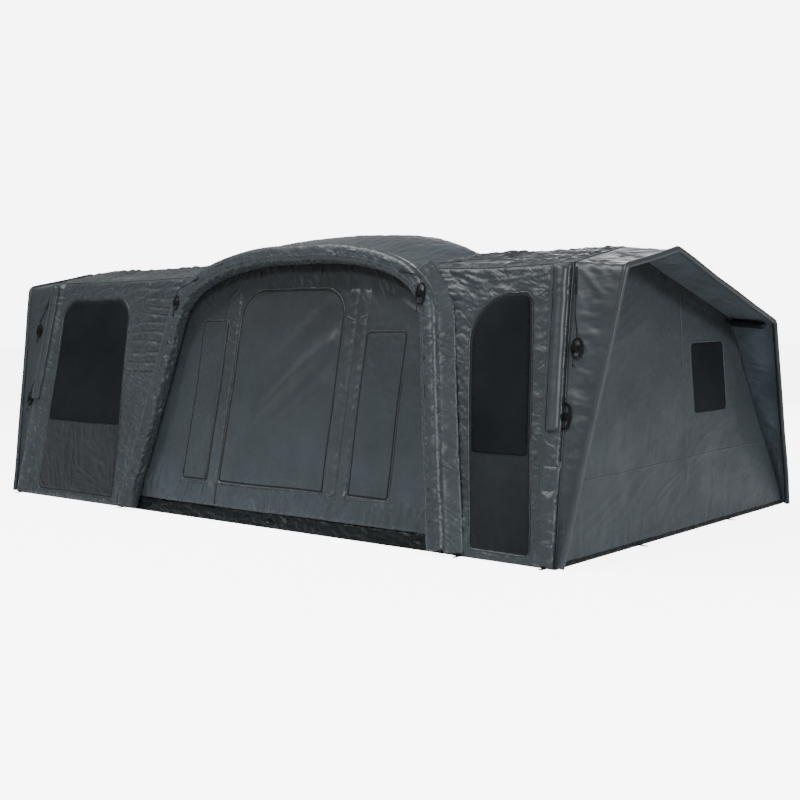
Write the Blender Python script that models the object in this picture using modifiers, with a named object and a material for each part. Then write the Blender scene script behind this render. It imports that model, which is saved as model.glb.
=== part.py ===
"""Inflatable family tent: a domed middle behind a front arch, a wing on each side and a porch at each end.

Metres, +Z up. The front looks along -Y, the origin is on the ground under the middle of the body.
"""
import math

import bmesh
import bpy
import numpy as np
from mathutils import Matrix, Vector

# Body: the section is the same from end to end, with a steep front and a long, low back
BODY_LENGTH = 6.42
BODY_DEPTH = 3.812
EAVE_HEIGHT = 2.10
EAVE_SETBACK = 0.44
RIDGE_RISE = 0.145
RIDGE_SETBACK = 1.165
REAR_EAVE_DROP = 0.40
REAR_EAVE_SETBACK = 0.944
END_SETBACK = 0.13
RIDGE_HEIGHT = EAVE_HEIGHT + RIDGE_RISE
REAR_EAVE_HEIGHT = EAVE_HEIGHT - REAR_EAVE_DROP

# Cloth, and the running clearance between neighbours
SKIN = 0.006
SEAT = 0.0003
GRAIN = 0.001
MERGE = 0.00001

# Front arch, and the arch at the back that repeats it at the lower eave
ARCH_OFFSET = 0.455
ARCH_FOOT_HALF = 1.88
ARCH_HEAD_HALF = 1.42
ARCH_SHOULDER_DROP = 0.40
ARCH_SHOULDER = EAVE_HEIGHT - ARCH_SHOULDER_DROP
ARCH_RISE = 0.62
ARCH_TUBE = 0.076
ARCH_POWER = 2.5
ARCH_STEPS = 32

# Dome between the two arches
DOME_HUMP = 0.30
DOME_COLUMNS = 26
DOME_ROWS = 5
FOLD_ROWS = 3

# Inflated beams inside the ends and under the ridge
END_TUBE = 0.07
END_BEND = 0.30
RIDGE_TUBE = 0.045
BEND_STEPS = 5

# Porch at each end: a hood of cloth out to a thin hoop
PORCH_REACH = 0.30
PORCH_FOOT = 0.045
PORCH_DROOP = 0.04
HOOP_TUBE = 0.022
HOOP_BEND = 0.06
HOOP_NEAR_SHARE = 0.99

# Groundsheet with a turned-up rim, seen under the middle of the front
SHEET = 0.004
RIM_HEIGHT = 0.12

# Front door and the covers of the windows beside it; a drop is measured down from the eave
DOOR_OFFSET = -0.095
DOOR_WIDTH = 1.22
DOOR_SILL = 0.33
DOOR_HEAD_DROP = 0.13
DOOR_CURVE = 0.25
LEAF_CORNER = 0.03
LEFT_FLAP_OFFSET = -1.02
LEFT_FLAP_WIDTH = 0.33
LEFT_FLAP_DROP = 0.38
RIGHT_FLAP_OFFSET = 0.985
RIGHT_FLAP_WIDTH = 0.42
RIGHT_FLAP_DROP = 0.48
FLAP_CURVE = 0.05
NET = 0.0025
DOOR_HEAD = EAVE_HEIGHT - DOOR_HEAD_DROP
LEFT_FLAP_HEAD = EAVE_HEIGHT - LEFT_FLAP_DROP
RIGHT_FLAP_HEAD = EAVE_HEIGHT - RIGHT_FLAP_DROP

# Doors in the wings: their gaps to the end of the body, at the ground and at the door's head, their gap
# to the arch, how much narrower they are at the head, and their two upper curves, as shares of the
# wing's width
WING_SILL = 0.07
LEFT_DOOR_SHARES = (0.2017, 0.1905, 0.1429, 0.0728, 0.1120, 0.1120)
RIGHT_DOOR_SHARES = (0.2514, 0.5143, 0.1771, -0.0571, 0.0686, 0.3771)
LEFT_DOOR_DROP = 0.18
RIGHT_DOOR_DROP = 0.21
PANE_SILL = 0.74
PANE_BORDER = 0.035
LEFT_DOOR_HEAD = EAVE_HEIGHT - LEFT_DOOR_DROP
RIGHT_DOOR_HEAD = EAVE_HEIGHT - RIGHT_DOOR_DROP

# Window in each end wall
WINDOW_OFFSET = 0.54
WINDOW_WIDTH = 0.58
WINDOW_LENGTH = 0.57
WINDOW_DROP = 0.60
WINDOW_CURVE = 0.05
WINDOW_HEAD = EAVE_HEIGHT - WINDOW_DROP
WINDOW_SILL = WINDOW_HEAD - WINDOW_LENGTH

# Vents in the roof of each wing
VENT_WIDTH = 0.60
VENT_DEPTH = 0.22
VENT_FROM_EAVE = 0.10
VENT_SLOT = 0.05
VENT_COVER = 0.004
LEFT_VENT_GAP = 1.10
RIGHT_VENT_ARCH_GAP = 0.171

# Inflation valve in each front corner, with its cap and its cloth cover
VALVE_HEIGHT = 0.60
TURNED_STEPS = 20
VALVE_STEM = 0.022
VALVE_FLANGE = 0.032
VALVE_FLANGE_HEIGHT = 0.005
VALVE_NECK = 0.019
VALVE_NECK_HEIGHT = 0.015
CAP_WALL = 0.003
CAP_HEIGHT = 0.019
COVER_WIDTH = 0.15
COVER_HEIGHT = 0.26
COVER_CLOTH = 0.002
COVER_ABOVE = 0.13
COVER_STEPS = 10
COVER_SWELL_DOWN_SHARE = 1.6
COVER_SWELL_ACROSS_SHARE = 1.3

# Zip sliders
SLIDER_WIDTH = 0.010
SLIDER_LENGTH = 0.016
SLIDER_HEIGHT = 0.005
PULL_LENGTH = 0.045
PULL_WIDTH = 0.007

# Webbing tabs for pegs and guy lines
TAB_WIDTH = 0.035
TAB_LENGTH = 0.075
TAB_CLOTH = 0.0025
TAB_HOLE = 0.009
TAB_HOLE_SIDES = 8
TAB_END_GAP = 0.08
TAB_ARCH_GAP = 0.06
TAB_SPREAD = 0.75
GUY_TAB_WIDTH = 0.026
ARCH_TAB_CLOTH = 0.0075
GUY_TAB_LENGTH = 0.05
STRAP_WIDTH = 0.022

# Guy lines, tied up in hanks that lie on the front; places are (x, height) and chosen by hand, and a
# hank has its place, its width, its height and its number of turns
CORD = 0.003
CORD_STEP = 0.018
CORD_RUN = 0.018
LOOP_POINTS = 24
LEAD_POINTS = 3
HANK_STEP = 0.0098
HANK_LAYER = 0.0072
HANK_LEAD = 0.014
HANK_TAIL = 0.03
WAIST_SHARE = 0.30
CLIMB_SHARE = 0.5
GAP_SHARES = (0, 0.25, 0.5, 0.75)
LOWER_TAB = (3.045, EAVE_HEIGHT - 0.025)
LEFT_LOWER_TAB = (-3.045, EAVE_HEIGHT - 0.025)
RIGHT_STRAP = ((3.108, EAVE_HEIGHT - 0.03), (3.134, EAVE_HEIGHT - 0.23))
LEFT_STRAP = ((-3.10, EAVE_HEIGHT - 0.03), (-3.195, EAVE_HEIGHT - 0.25))
RIGHT_UPPER_HANK = (3.185, 1.50, 0.12, 0.15, 3.5)
RIGHT_LOWER_HANK = (3.150, 1.03, 0.13, 0.19, 3.5)
LEFT_UPPER_HANK = (-3.250, 1.62, 0.10, 0.13, 2.5)
LEFT_LOWER_HANK = (-3.225, 0.93, 0.11, 0.14, 2.5)
ARCH_LEFT_HANK = (1.84, 0.10, 0.13, 2.5)
ARCH_RIGHT_HANK = (1.87, 0.12, 0.17, 2.5)
ARCH_TAB_HEIGHT = EAVE_HEIGHT - 0.04
RIGHT_UPPER_ROUTE = ((3.1345, 1.80), (3.150, 1.70))
RIGHT_LOWER_ROUTE = ((3.046, 1.90), (3.040, 1.60), (3.062, 1.35), (3.110, 1.20))
LEFT_UPPER_ROUTE = ((-3.203, 1.82), (-3.228, 1.76))
LEFT_LOWER_ROUTE = ((-3.050, 1.90), (-3.088, 1.60), (-3.140, 1.30), (-3.205, 1.10))

# Colours, linear, with roughness
SLATE = (0.048, 0.061, 0.070, 0.75)
NET_BLACK = (0.015, 0.018, 0.021, 0.85)
SHEET_BLACK = (0.008, 0.009, 0.010, 0.70)
BEAM_GREY = (0.090, 0.095, 0.100, 0.55)
CORD_BLACK = (0.010, 0.011, 0.012, 0.80)
PLASTIC_BLACK = (0.012, 0.012, 0.013, 0.40)

# Section of the body, as (y, z), and what follows from it
FRONT_Y = -BODY_DEPTH / 2
REAR_Y = BODY_DEPTH / 2
FRONT_FOOT = (FRONT_Y, 0)
EAVE = (FRONT_Y + EAVE_SETBACK, EAVE_HEIGHT)
RIDGE = (FRONT_Y + RIDGE_SETBACK, RIDGE_HEIGHT)
REAR_EAVE = (REAR_Y - REAR_EAVE_SETBACK, REAR_EAVE_HEIGHT)
REAR_FOOT = (REAR_Y, 0)
SECTION = (FRONT_FOOT, EAVE, RIDGE, REAR_EAVE, REAR_FOOT)
END_LEAN = END_SETBACK / EAVE_HEIGHT
END_SECANT = math.hypot(1, END_LEAN)
FRONT_LEAN = EAVE_SETBACK / EAVE_HEIGHT
FRONT_SECANT = math.hypot(1, FRONT_LEAN)
REAR_LEAN = REAR_EAVE_SETBACK / REAR_EAVE_HEIGHT
REAR_SECANT = math.hypot(1, REAR_LEAN)
REAR_SHARE = REAR_EAVE_HEIGHT / EAVE_HEIGHT
BEAM_INSET = SKIN + SHEET + 2 * SEAT
UNDER_WALL = TAB_CLOTH + SEAT


def clear_scene():
    """Remove every object of the opening scene."""
    for item in list(bpy.data.objects):
        bpy.data.objects.remove(item, do_unlink=True)


clear_scene()
TENT = bpy.data.collections.new("inflatable_tent")
bpy.context.scene.collection.children.link(TENT)
CUTTERS = bpy.data.collections.new("cutters")
bpy.context.scene.collection.children.link(CUTTERS)


def finish(name, colour, metallic=0):
    """A material named for its piece."""
    material = bpy.data.materials.new(name)
    material.use_nodes = True
    shader = material.node_tree.nodes["Principled BSDF"]
    shader.inputs["Base Color"].default_value = (*colour[:3], 1)
    shader.inputs["Roughness"].default_value = colour[3]
    shader.inputs["Metallic"].default_value = metallic
    return material


def place(name, data, matrix, colour):
    """Put new data into the tent's collection as one named object."""
    data.materials.append(finish(name, colour))
    piece = bpy.data.objects.new(name, data)
    TENT.objects.link(piece)
    piece.matrix_world = matrix
    return piece


def face(foot, head, across):
    """Frame of a flat face: x along across, y up the slope from foot to head, z outwards."""
    across = Vector(across)
    up = (Vector(head) - Vector(foot)).normalized()
    out = across.cross(up)
    matrix = Matrix((across, up, out)).transposed().to_4x4()
    matrix.translation = Vector(foot)
    return matrix


def section_face(low, high, side):
    """Frame of a wall or roof of the section, seen from outside; side is 1 in front and -1 behind."""
    return face((0, *low), (0, *high), (side, 0, 0))


FRONT = section_face(FRONT_FOOT, EAVE, 1)
FRONT_ROOF = section_face(EAVE, RIDGE, 1)
REAR_ROOF = section_face(REAR_EAVE, RIDGE, -1)
REAR = section_face(REAR_FOOT, REAR_EAVE, -1)


def end_x(height):
    """Distance of the end wall's outside from the middle, at a height."""
    return BODY_LENGTH / 2 - END_LEAN * height


def skin_end_x(height):
    """Where walls and roofs stop short of the end wall."""
    return end_x(height) - SKIN * END_SECANT - SEAT


def sink(radius, *leans):
    """How far the rim of a tube's flat end lies below its centre when the tube leans."""
    slope = math.hypot(*leans)
    return radius * slope / math.hypot(1, slope)


def crossing(p, q, r, s):
    """Point where the line through p and q meets the line through r and s."""
    d = (q[0] - p[0], q[1] - p[1])
    e = (s[0] - r[0], s[1] - r[1])
    t = ((r[0] - p[0]) * e[1] - (r[1] - p[1]) * e[0]) / (d[0] * e[1] - d[1] * e[0])
    return (p[0] + t * d[0], p[1] + t * d[1])


def grown(corners, by):
    """A ring of corners, given anticlockwise, with every edge moved outwards."""
    edges = []
    for p, q in zip(corners, corners[1:] + corners[:1]):
        length = math.dist(p, q)
        shift = (by * (q[1] - p[1]) / length, -by * (q[0] - p[0]) / length)
        edges.append(((p[0] + shift[0], p[1] + shift[1]), (q[0] + shift[0], q[1] + shift[1])))
    return [crossing(*edges[k - 1], *edges[k]) for k in range(len(edges))]


def rounded(points, radii, closed=True):
    """The points with an arc of the given radius at each corner; a radius of zero keeps it sharp."""
    result = []
    count = len(points)
    for k, (point, radius) in enumerate(zip(points, radii)):
        if radius <= 0 or (not closed and k in (0, count - 1)):
            result.append(tuple(point))
            continue
        here = Vector(point)
        back = (Vector(points[k - 1]) - here).normalized()
        ahead = (Vector(points[(k + 1) % count]) - here).normalized()
        half = back.angle(ahead) / 2
        middle = here + (back + ahead).normalized() * radius / math.sin(half)
        start = here + back * radius / math.tan(half) - middle
        stop = here + ahead * radius / math.tan(half) - middle
        for step in range(BEND_STEPS + 1):
            share = step / BEND_STEPS
            spoke = start.slerp(stop, share) if len(here) == 3 else start.lerp(stop, share)
            result.append(tuple(middle + spoke.normalized() * radius))
    return result


def ring(corners, radii, by=0):
    """A rounded outline, moved outwards by a clearance."""
    return rounded(grown(corners, by), [radius + by if radius else 0 for radius in radii])


def panel(name, matrix, outline, holes=(), cloth=SKIN, lift=0, pivot=(0, 0), colour=SLATE):
    """Flat cloth: its outer side lies on the face, raised by lift, and its origin at the pivot."""
    rings = [[(x - pivot[0], y - pivot[1]) for x, y in loop] for loop in (outline, *holes)]
    mesh = curve_to_panel(outlines(name, rings, cloth), cloth)
    return place(name, mesh, matrix @ Matrix.Translation((*pivot, lift)), colour)


def as_mesh(piece):
    """The same piece with its curve turned into a mesh, ready to be joined to others."""
    graph = bpy.context.evaluated_depsgraph_get()
    mesh = bpy.data.meshes.new_from_object(piece.evaluated_get(graph))
    name, matrix = piece.name, piece.matrix_world.copy()
    bpy.data.objects.remove(piece)
    weld(mesh)
    solid = bpy.data.objects.new(name, mesh)
    TENT.objects.link(solid)
    solid.matrix_world = matrix
    return solid


def curve_to_panel(curve, cloth):
    """Mesh of a filled outline, lowered so that its outer side is at zero."""
    holder = bpy.data.objects.new("outline", curve)
    TENT.objects.link(holder)
    graph = bpy.context.evaluated_depsgraph_get()
    mesh = bpy.data.meshes.new_from_object(holder.evaluated_get(graph))
    mesh.name = curve.name
    mesh.transform(Matrix.Translation((0, 0, -cloth / 2)))
    bpy.data.objects.remove(holder)
    return weld(mesh)


def weld(mesh):
    """Join the caps of a mesh made from a curve to its sides."""
    work = bmesh.new()
    work.from_mesh(mesh)
    bmesh.ops.remove_doubles(work, verts=work.verts, dist=MERGE)
    work.to_mesh(mesh)
    work.free()
    return mesh


def tube(name, points, radius, sides, colour, matrix=Matrix.Identity(4)):
    """A round tube along the points, with flat ends; sides is its bevel resolution."""
    curve = bpy.data.curves.new(name, "CURVE")
    curve.dimensions = "3D"
    curve.bevel_depth = radius
    curve.bevel_resolution = sides
    curve.use_fill_caps = True
    spline = curve.splines.new("POLY")
    spline.points.add(len(points) - 1)
    for point, place_in in zip(spline.points, points):
        point.co = (*place_in, 1)
    return place(name, curve, matrix, colour)


def arch(inset, share=1, steps=ARCH_STEPS):
    """Outline of an arch from its left foot to its right, as (x, z).

    The half width shrinks evenly with height, and above the shoulder it is also cut down as a
    superellipse; share lowers the whole arch.
    """
    apex = ARCH_SHOULDER + ARCH_RISE
    points = []
    for step in range(steps + 1):
        angle = math.pi * (1 - step / steps)
        rise = (ARCH_RISE - inset) * math.sin(angle) ** (2 / ARCH_POWER)
        height = ARCH_SHOULDER + rise
        half = ARCH_FOOT_HALF + (ARCH_HEAD_HALF - ARCH_FOOT_HALF) * height / apex - inset
        width = half * math.copysign(abs(math.cos(angle)) ** (2 / ARCH_POWER), math.cos(angle))
        points.append((ARCH_OFFSET + width, height * share))
    foot = ARCH_FOOT_HALF - inset
    return [(ARCH_OFFSET - foot, 0), *points, (ARCH_OFFSET + foot, 0)]


def cut_foot(points, height):
    """The arch's points with both feet raised along the legs to a height."""
    left, right = points[0], points[-1]
    level = ((0, height), (1, height))
    return [crossing(left, points[1], *level), *points[1:-1], crossing(points[-2], right, *level)]


def dome_edge():
    """Columns of the dome: the arch's outer line above the front eave, as (x, share of the rise)."""
    apex = ARCH_SHOULDER + ARCH_RISE
    limit = math.asin(((EAVE_HEIGHT - ARCH_SHOULDER) / ARCH_RISE) ** (ARCH_POWER / 2))
    columns = []
    for step in range(DOME_COLUMNS + 1):
        angle = math.pi - limit - (math.pi - 2 * limit) * step / DOME_COLUMNS
        height = ARCH_SHOULDER + ARCH_RISE * math.sin(angle) ** (2 / ARCH_POWER)
        half = ARCH_FOOT_HALF + (ARCH_HEAD_HALF - ARCH_FOOT_HALF) * height / apex
        width = half * math.copysign(abs(math.cos(angle)) ** (2 / ARCH_POWER), math.cos(angle))
        columns.append((ARCH_OFFSET + width, (height - EAVE_HEIGHT) / (apex - EAVE_HEIGHT)))
    return columns


def on_front(height):
    """Slope distance on the front face at a height."""
    return height * FRONT_SECANT


def up_front(points):
    """Points given as (x, height), laid on the front face."""
    return [(x, on_front(height)) for x, height in points]


def up_rear(points):
    """Points given as (x, height), laid on the rear face, which runs the other way."""
    return [(-x, height * REAR_SECANT) for x, height in points][::-1]


def turn(a, b, c):
    """Tangent of half the angle by which the section turns at b."""
    before = math.atan2(b[1] - a[1], b[0] - a[0])
    after = math.atan2(c[1] - b[1], c[0] - b[0])
    return math.tan(abs(before - after) / 2)


EAVE_PULL = SKIN * turn(FRONT_FOOT, EAVE, RIDGE) + SEAT
RIDGE_PULL = SKIN * turn(EAVE, RIDGE, REAR_EAVE) + SEAT
REAR_PULL = SKIN * turn(RIDGE, REAR_EAVE, REAR_FOOT) + SEAT


def wall_outline(side, secant, lean, eave, pull, share):
    """A wing wall between the end and the arch, for one side, as (x, height)."""
    foot = UNDER_WALL + SKIN * lean / secant
    top = eave - pull / secant
    arc = [p for p in cut_foot(arch(-SEAT, share), foot) if p[1] < top]
    leg = [p for p in arc if (p[0] - ARCH_OFFSET) * side > 0]
    whole = [p for p in arch(-SEAT, share) if (p[0] - ARCH_OFFSET) * side > 0]
    above = min((p for p in whole if p[1] >= top), key=lambda p: p[1])
    last = max(leg, key=lambda p: p[1])
    leg.append(crossing(last, above, (0, top), (1, top)))
    leg.sort(key=lambda p: p[1])
    outer = [(side * skin_end_x(top), top), (side * skin_end_x(foot), foot)]
    points = leg + outer
    return points[::-1] if side > 0 else points


def interpolate(low, high, height):
    """x at a height on the line between two points given as (x, height)."""
    share = (height - low[1]) / (high[1] - low[1])
    return low[0] + (high[0] - low[0]) * share


def leaf(left, right, sill, head, border=0):
    """Corners of a door between two leaning edges, anticlockwise, as (x, height)."""
    corners = []
    for edge, height in ((left, sill), (right, sill), (right, head), (left, head)):
        inward = border if edge is left else -border
        corners.append((interpolate(*edge, height) + inward, height))
    return corners


def upright(centre, width):
    """Left and right edges of a door with parallel sides."""
    low, high = centre - width / 2, centre + width / 2
    return ((low, 0), (low, EAVE_HEIGHT)), ((high, 0), (high, EAVE_HEIGHT))


def wing_width(side):
    """Width of a wing at the ground, from the end of the body to the arch."""
    return BODY_LENGTH / 2 - ARCH_FOOT_HALF - side * ARCH_OFFSET


def wing_edges(side, shares, head):
    """Left and right edges of a wing door, from its gaps to the end of the body and to the arch."""
    foot_gap, head_gap, arch_gap, taper = (share * wing_width(side) for share in shares[:4])
    end = BODY_LENGTH / 2
    foot_width = wing_width(side) - foot_gap - arch_gap
    head_width = foot_width - taper
    outer = ((side * (end - foot_gap), 0), (side * (end - head_gap), head))
    inner = ((side * (end - foot_gap - foot_width), 0), (side * (end - head_gap - head_width), head))
    return (outer, inner) if side < 0 else (inner, outer)


FRONT_DOOR = leaf(*upright(ARCH_OFFSET + DOOR_OFFSET, DOOR_WIDTH), DOOR_SILL, DOOR_HEAD)
FRONT_DOOR_CURVES = (LEAF_CORNER, LEAF_CORNER, DOOR_CURVE, DOOR_CURVE)
LEFT_FLAP = leaf(*upright(ARCH_OFFSET + LEFT_FLAP_OFFSET, LEFT_FLAP_WIDTH), DOOR_SILL, LEFT_FLAP_HEAD)
RIGHT_FLAP = leaf(*upright(ARCH_OFFSET + RIGHT_FLAP_OFFSET, RIGHT_FLAP_WIDTH), DOOR_SILL, RIGHT_FLAP_HEAD)
FLAP_CURVES = (LEAF_CORNER, LEAF_CORNER, FLAP_CURVE, FLAP_CURVE)
LEFT_EDGES = wing_edges(-1, LEFT_DOOR_SHARES, LEFT_DOOR_HEAD)
RIGHT_EDGES = wing_edges(1, RIGHT_DOOR_SHARES, RIGHT_DOOR_HEAD)
LEFT_DOOR = leaf(*LEFT_EDGES, WING_SILL, LEFT_DOOR_HEAD)
RIGHT_DOOR = leaf(*RIGHT_EDGES, WING_SILL, RIGHT_DOOR_HEAD)
LEFT_CURVES = (LEAF_CORNER, LEAF_CORNER, *(share * wing_width(-1) for share in LEFT_DOOR_SHARES[4:]))
RIGHT_CURVES = (LEAF_CORNER, LEAF_CORNER, *(share * wing_width(1) for share in RIGHT_DOOR_SHARES[4:]))


def valve_x():
    """The valve sits over the middle of the end beam."""
    return end_x(VALVE_HEIGHT) - (BEAM_INSET + END_TUBE) * END_SECANT


def circle(centre, radius, steps):
    """A ring of straight sides round a circle of the given radius, anticlockwise."""
    turns = [2 * math.pi * step / steps for step in range(steps)]
    radius = radius / math.cos(math.pi / steps)
    return [(centre[0] + radius * math.cos(a), centre[1] + radius * math.sin(a)) for a in turns]


def valve_hole(side):
    """Hole for the valve's stem in the front wall."""
    return circle((side * valve_x(), on_front(VALVE_HEIGHT)), VALVE_STEM + SEAT, TURNED_STEPS)


def build_front():
    """Front walls: the middle one within the arch and one for each wing."""
    foot = RIM_HEIGHT
    middle = up_front(cut_foot(arch(SKIN + SEAT), foot))[::-1]
    openings = [ring(up_front(FRONT_DOOR), FRONT_DOOR_CURVES, SEAT),
                ring(up_front(LEFT_FLAP), FLAP_CURVES, SEAT),
                ring(up_front(RIGHT_FLAP), FLAP_CURVES, SEAT)]
    panel("centre_front_wall", FRONT, middle, openings)
    for name, side, door, curves in (("left_front_wall", -1, LEFT_DOOR, LEFT_CURVES),
                                     ("right_front_wall", 1, RIGHT_DOOR, RIGHT_CURVES)):
        outline = wall_outline(side, FRONT_SECANT, FRONT_LEAN, EAVE_HEIGHT, EAVE_PULL, 1)
        panel(name, FRONT, up_front(outline), [ring(up_front(door), curves, SEAT), valve_hole(side)])


def build_rear():
    """Rear walls, divided as in front."""
    foot = UNDER_WALL + SKIN * REAR_LEAN / REAR_SECANT
    panel("centre_rear_wall", REAR, up_rear(cut_foot(arch(SKIN + SEAT, REAR_SHARE), foot)))
    for name, side in (("left_rear_wall", -1), ("right_rear_wall", 1)):
        outline = wall_outline(side, REAR_SECANT, REAR_LEAN, REAR_EAVE_HEIGHT, REAR_PULL, REAR_SHARE)
        panel(name, REAR, up_rear(outline))


def vent_centre(side):
    """Middle of a roof vent: the left one keeps its distance to the end, the right one to the dome."""
    if side < 0:
        return LEFT_VENT_GAP - BODY_LENGTH / 2
    return dome_edge()[-1][0] + RIGHT_VENT_ARCH_GAP + VENT_WIDTH / 2


def vent_ring(side, inset):
    """Outline of a vent on the front roof, drawn in by an inset."""
    middle = vent_centre(side)
    half = VENT_WIDTH / 2 - inset
    low, high = VENT_FROM_EAVE + inset, VENT_FROM_EAVE + VENT_DEPTH - inset
    return [(middle - half, low), (middle + half, low), (middle + half, high), (middle - half, high)]


def build_roofs():
    """Roofs of the wings, in front of the ridge and behind it, and the vents' covers."""
    columns = dome_edge()
    inner = {-1: columns[0][0] - SEAT, 1: columns[-1][0] + SEAT}
    for word, side in (("left", -1), ("right", 1)):
        slope = math.dist(EAVE, RIDGE)
        low, high = EAVE_PULL, slope - RIDGE_PULL
        ends = [side * skin_end_x(EAVE_HEIGHT), side * skin_end_x(RIDGE_HEIGHT)]
        corners = [(inner[side], low), (ends[0], low), (ends[1], high), (inner[side], high)]
        hole = vent_ring(side, VENT_SLOT)
        panel(f"{word}_front_roof", FRONT_ROOF, corners, [hole])
        cover = vent_ring(side, 0)
        panel(f"{word}_vent_cover", FRONT_ROOF, cover, cloth=VENT_COVER, lift=VENT_COVER + SEAT,
              pivot=(vent_centre(side), VENT_FROM_EAVE + VENT_DEPTH))
        slope = math.dist(REAR_EAVE, RIDGE)
        low, high = REAR_PULL, slope - RIDGE_PULL
        ends = [-side * skin_end_x(REAR_EAVE_HEIGHT), -side * skin_end_x(RIDGE_HEIGHT)]
        corners = [(-inner[side], low), (ends[0], low), (ends[1], high), (-inner[side], high)]
        panel(f"{word}_rear_roof", REAR_ROOF, corners)


def surface(name, rows, cloth, colour=SLATE):
    """Thick cloth from a grid of points, whose faces look outwards."""
    grid = np.array(rows)
    deep, wide = grid.shape[:2]
    index = np.arange(deep * wide).reshape(deep, wide)
    quads = np.stack([index[:-1, :-1], index[:-1, 1:], index[1:, 1:], index[1:, :-1]], -1)
    mesh = bpy.data.meshes.new(name)
    mesh.from_pydata(grid.reshape(-1, 3).tolist(), [], quads.reshape(-1, 4).tolist())
    mesh.shade_smooth()
    piece = place(name, mesh, Matrix.Identity(4), colour)
    thick = piece.modifiers.new("cloth", "SOLIDIFY")
    thick.thickness = cloth
    thick.offset = -1
    thick.use_even_offset = True
    return piece


def front_y(height):
    """y of the front face at a height."""
    return FRONT_Y + FRONT_LEAN * height


def rear_y(height):
    """y of the rear face at a height."""
    return REAR_Y - REAR_LEAN * height


def build_dome():
    """Dome between the arches.

    Each row is the arch's top, lowered along the roof of the wings at the sides and raised by a
    hump in the middle, so that it leaves the front arch upwards and comes down to the rear one.
    """
    fold = (RIDGE[0] - EAVE[0]) / (REAR_EAVE[0] - EAVE[0])
    marks = [fold * k / FOLD_ROWS for k in range(FOLD_ROWS + 1)]
    marks += [fold + (1 - fold) * k / DOME_ROWS for k in range(1, DOME_ROWS + 1)]
    apex = ARCH_SHOULDER + ARCH_RISE
    rows = []
    for mark in marks:
        side = EAVE[1] + (RIDGE[1] - EAVE[1]) * mark / fold
        if mark > fold:
            side = RIDGE[1] + (REAR_EAVE[1] - RIDGE[1]) * (mark - fold) / (1 - fold)
        crown = apex * (1 + (REAR_SHARE - 1) * mark) + DOME_HUMP * 4 * mark * (1 - mark)
        row = []
        for x, share in dome_edge():
            front = front_y(EAVE_HEIGHT + (apex - EAVE_HEIGHT) * share)
            rear = rear_y(REAR_SHARE * (EAVE_HEIGHT + (apex - EAVE_HEIGHT) * share))
            row.append((x, front + (rear - front) * mark, side + (crown - side) * share))
        rows.append(row)
    surface("dome_roof", rows, SKIN)


def build_ends():
    """End walls with their windows, closed over the ends of walls and roofs."""
    for word, side in (("left", -1), ("right", 1)):
        foot = Vector((side * BODY_LENGTH / 2, 0, 0))
        head = Vector((side * end_x(EAVE_HEIGHT), 0, EAVE_HEIGHT))
        matrix = face(foot, head, (0, side, 0))
        low = UNDER_WALL + SKIN * END_LEAN / END_SECANT
        start = (FRONT_Y + FRONT_LEAN * low, low)
        stop = (REAR_Y - REAR_LEAN * low, low)
        outline = [(side * y, z * END_SECANT) for y, z in (start, EAVE, RIDGE, REAR_EAVE, stop)]
        centre = side * WINDOW_OFFSET
        half = WINDOW_WIDTH / 2
        sill, top = WINDOW_SILL * END_SECANT, WINDOW_HEAD * END_SECANT
        pane = [(centre - half, sill), (centre + half, sill), (centre + half, top), (centre - half, top)]
        curves = (LEAF_CORNER, LEAF_CORNER, WINDOW_CURVE, WINDOW_CURVE)
        panel(f"{word}_end_wall", matrix, outline[::-side], [ring(pane, curves, SEAT)])
        panel(f"{word}_end_window", matrix, ring(pane, curves), cloth=NET, colour=NET_BLACK)


def hood_profile(side, reach, foot_reach, drop):
    """A line over the section, beyond the end of the body, from the front foot to the rear."""
    top = BODY_LENGTH / 2 + reach
    foot = BODY_LENGTH / 2 + foot_reach
    front, rear = EAVE_HEIGHT - drop, REAR_EAVE_HEIGHT - drop
    places = ((foot, FRONT_Y, 0), (top, front_y(front), front), (top, RIDGE[0], RIDGE_HEIGHT - drop),
              (top, rear_y(rear), rear), (foot, REAR_Y, 0))
    return [Vector((side * x, y, z)) for x, y, z in places]


def build_porches():
    """Porch hoods: cloth from the end wall out to a thin hoop."""
    bends = (0, HOOP_BEND, HOOP_BEND, HOOP_BEND, 0)
    feet = (sink(HOOP_TUBE, FRONT_LEAN, PORCH_REACH / EAVE_HEIGHT),
            sink(HOOP_TUBE, REAR_LEAN, PORCH_REACH / REAR_EAVE_HEIGHT))
    clear = SEAT + SKIN * PORCH_DROOP / PORCH_REACH
    for word, side in (("left", -1), ("right", 1)):
        rim = hood_profile(side, PORCH_REACH, PORCH_FOOT, PORCH_DROOP)
        root = [Vector((side * (end_x(z) + clear), y, z)) for y, z in SECTION]
        for line in (rim, root):
            line[0] = line[0].lerp(line[1], feet[0] / line[1].z)
            line[-1] = line[-1].lerp(line[-2], feet[1] / line[-2].z)
        bent = [Vector(p) for p in rounded([tuple(p) for p in rim], bends, closed=False)]
        base = [Vector(p) for p in rounded([tuple(p) for p in root], bends, closed=False)]
        tube(f"{word}_porch_hoop", [tuple(p) for p in bent], HOOP_TUBE, 3, SLATE)
        reach = HOOP_TUBE * HOOP_NEAR_SHARE + SEAT
        edge = [stop + (start - stop).normalized() * reach for start, stop in zip(base, bent)]
        rows = [[tuple(a.lerp(b, k / 2)) for a, b in zip(base, edge)] for k in range(3)]
        surface(f"{word}_porch_hood", rows if side < 0 else rows[::-1], SKIN)


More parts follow.
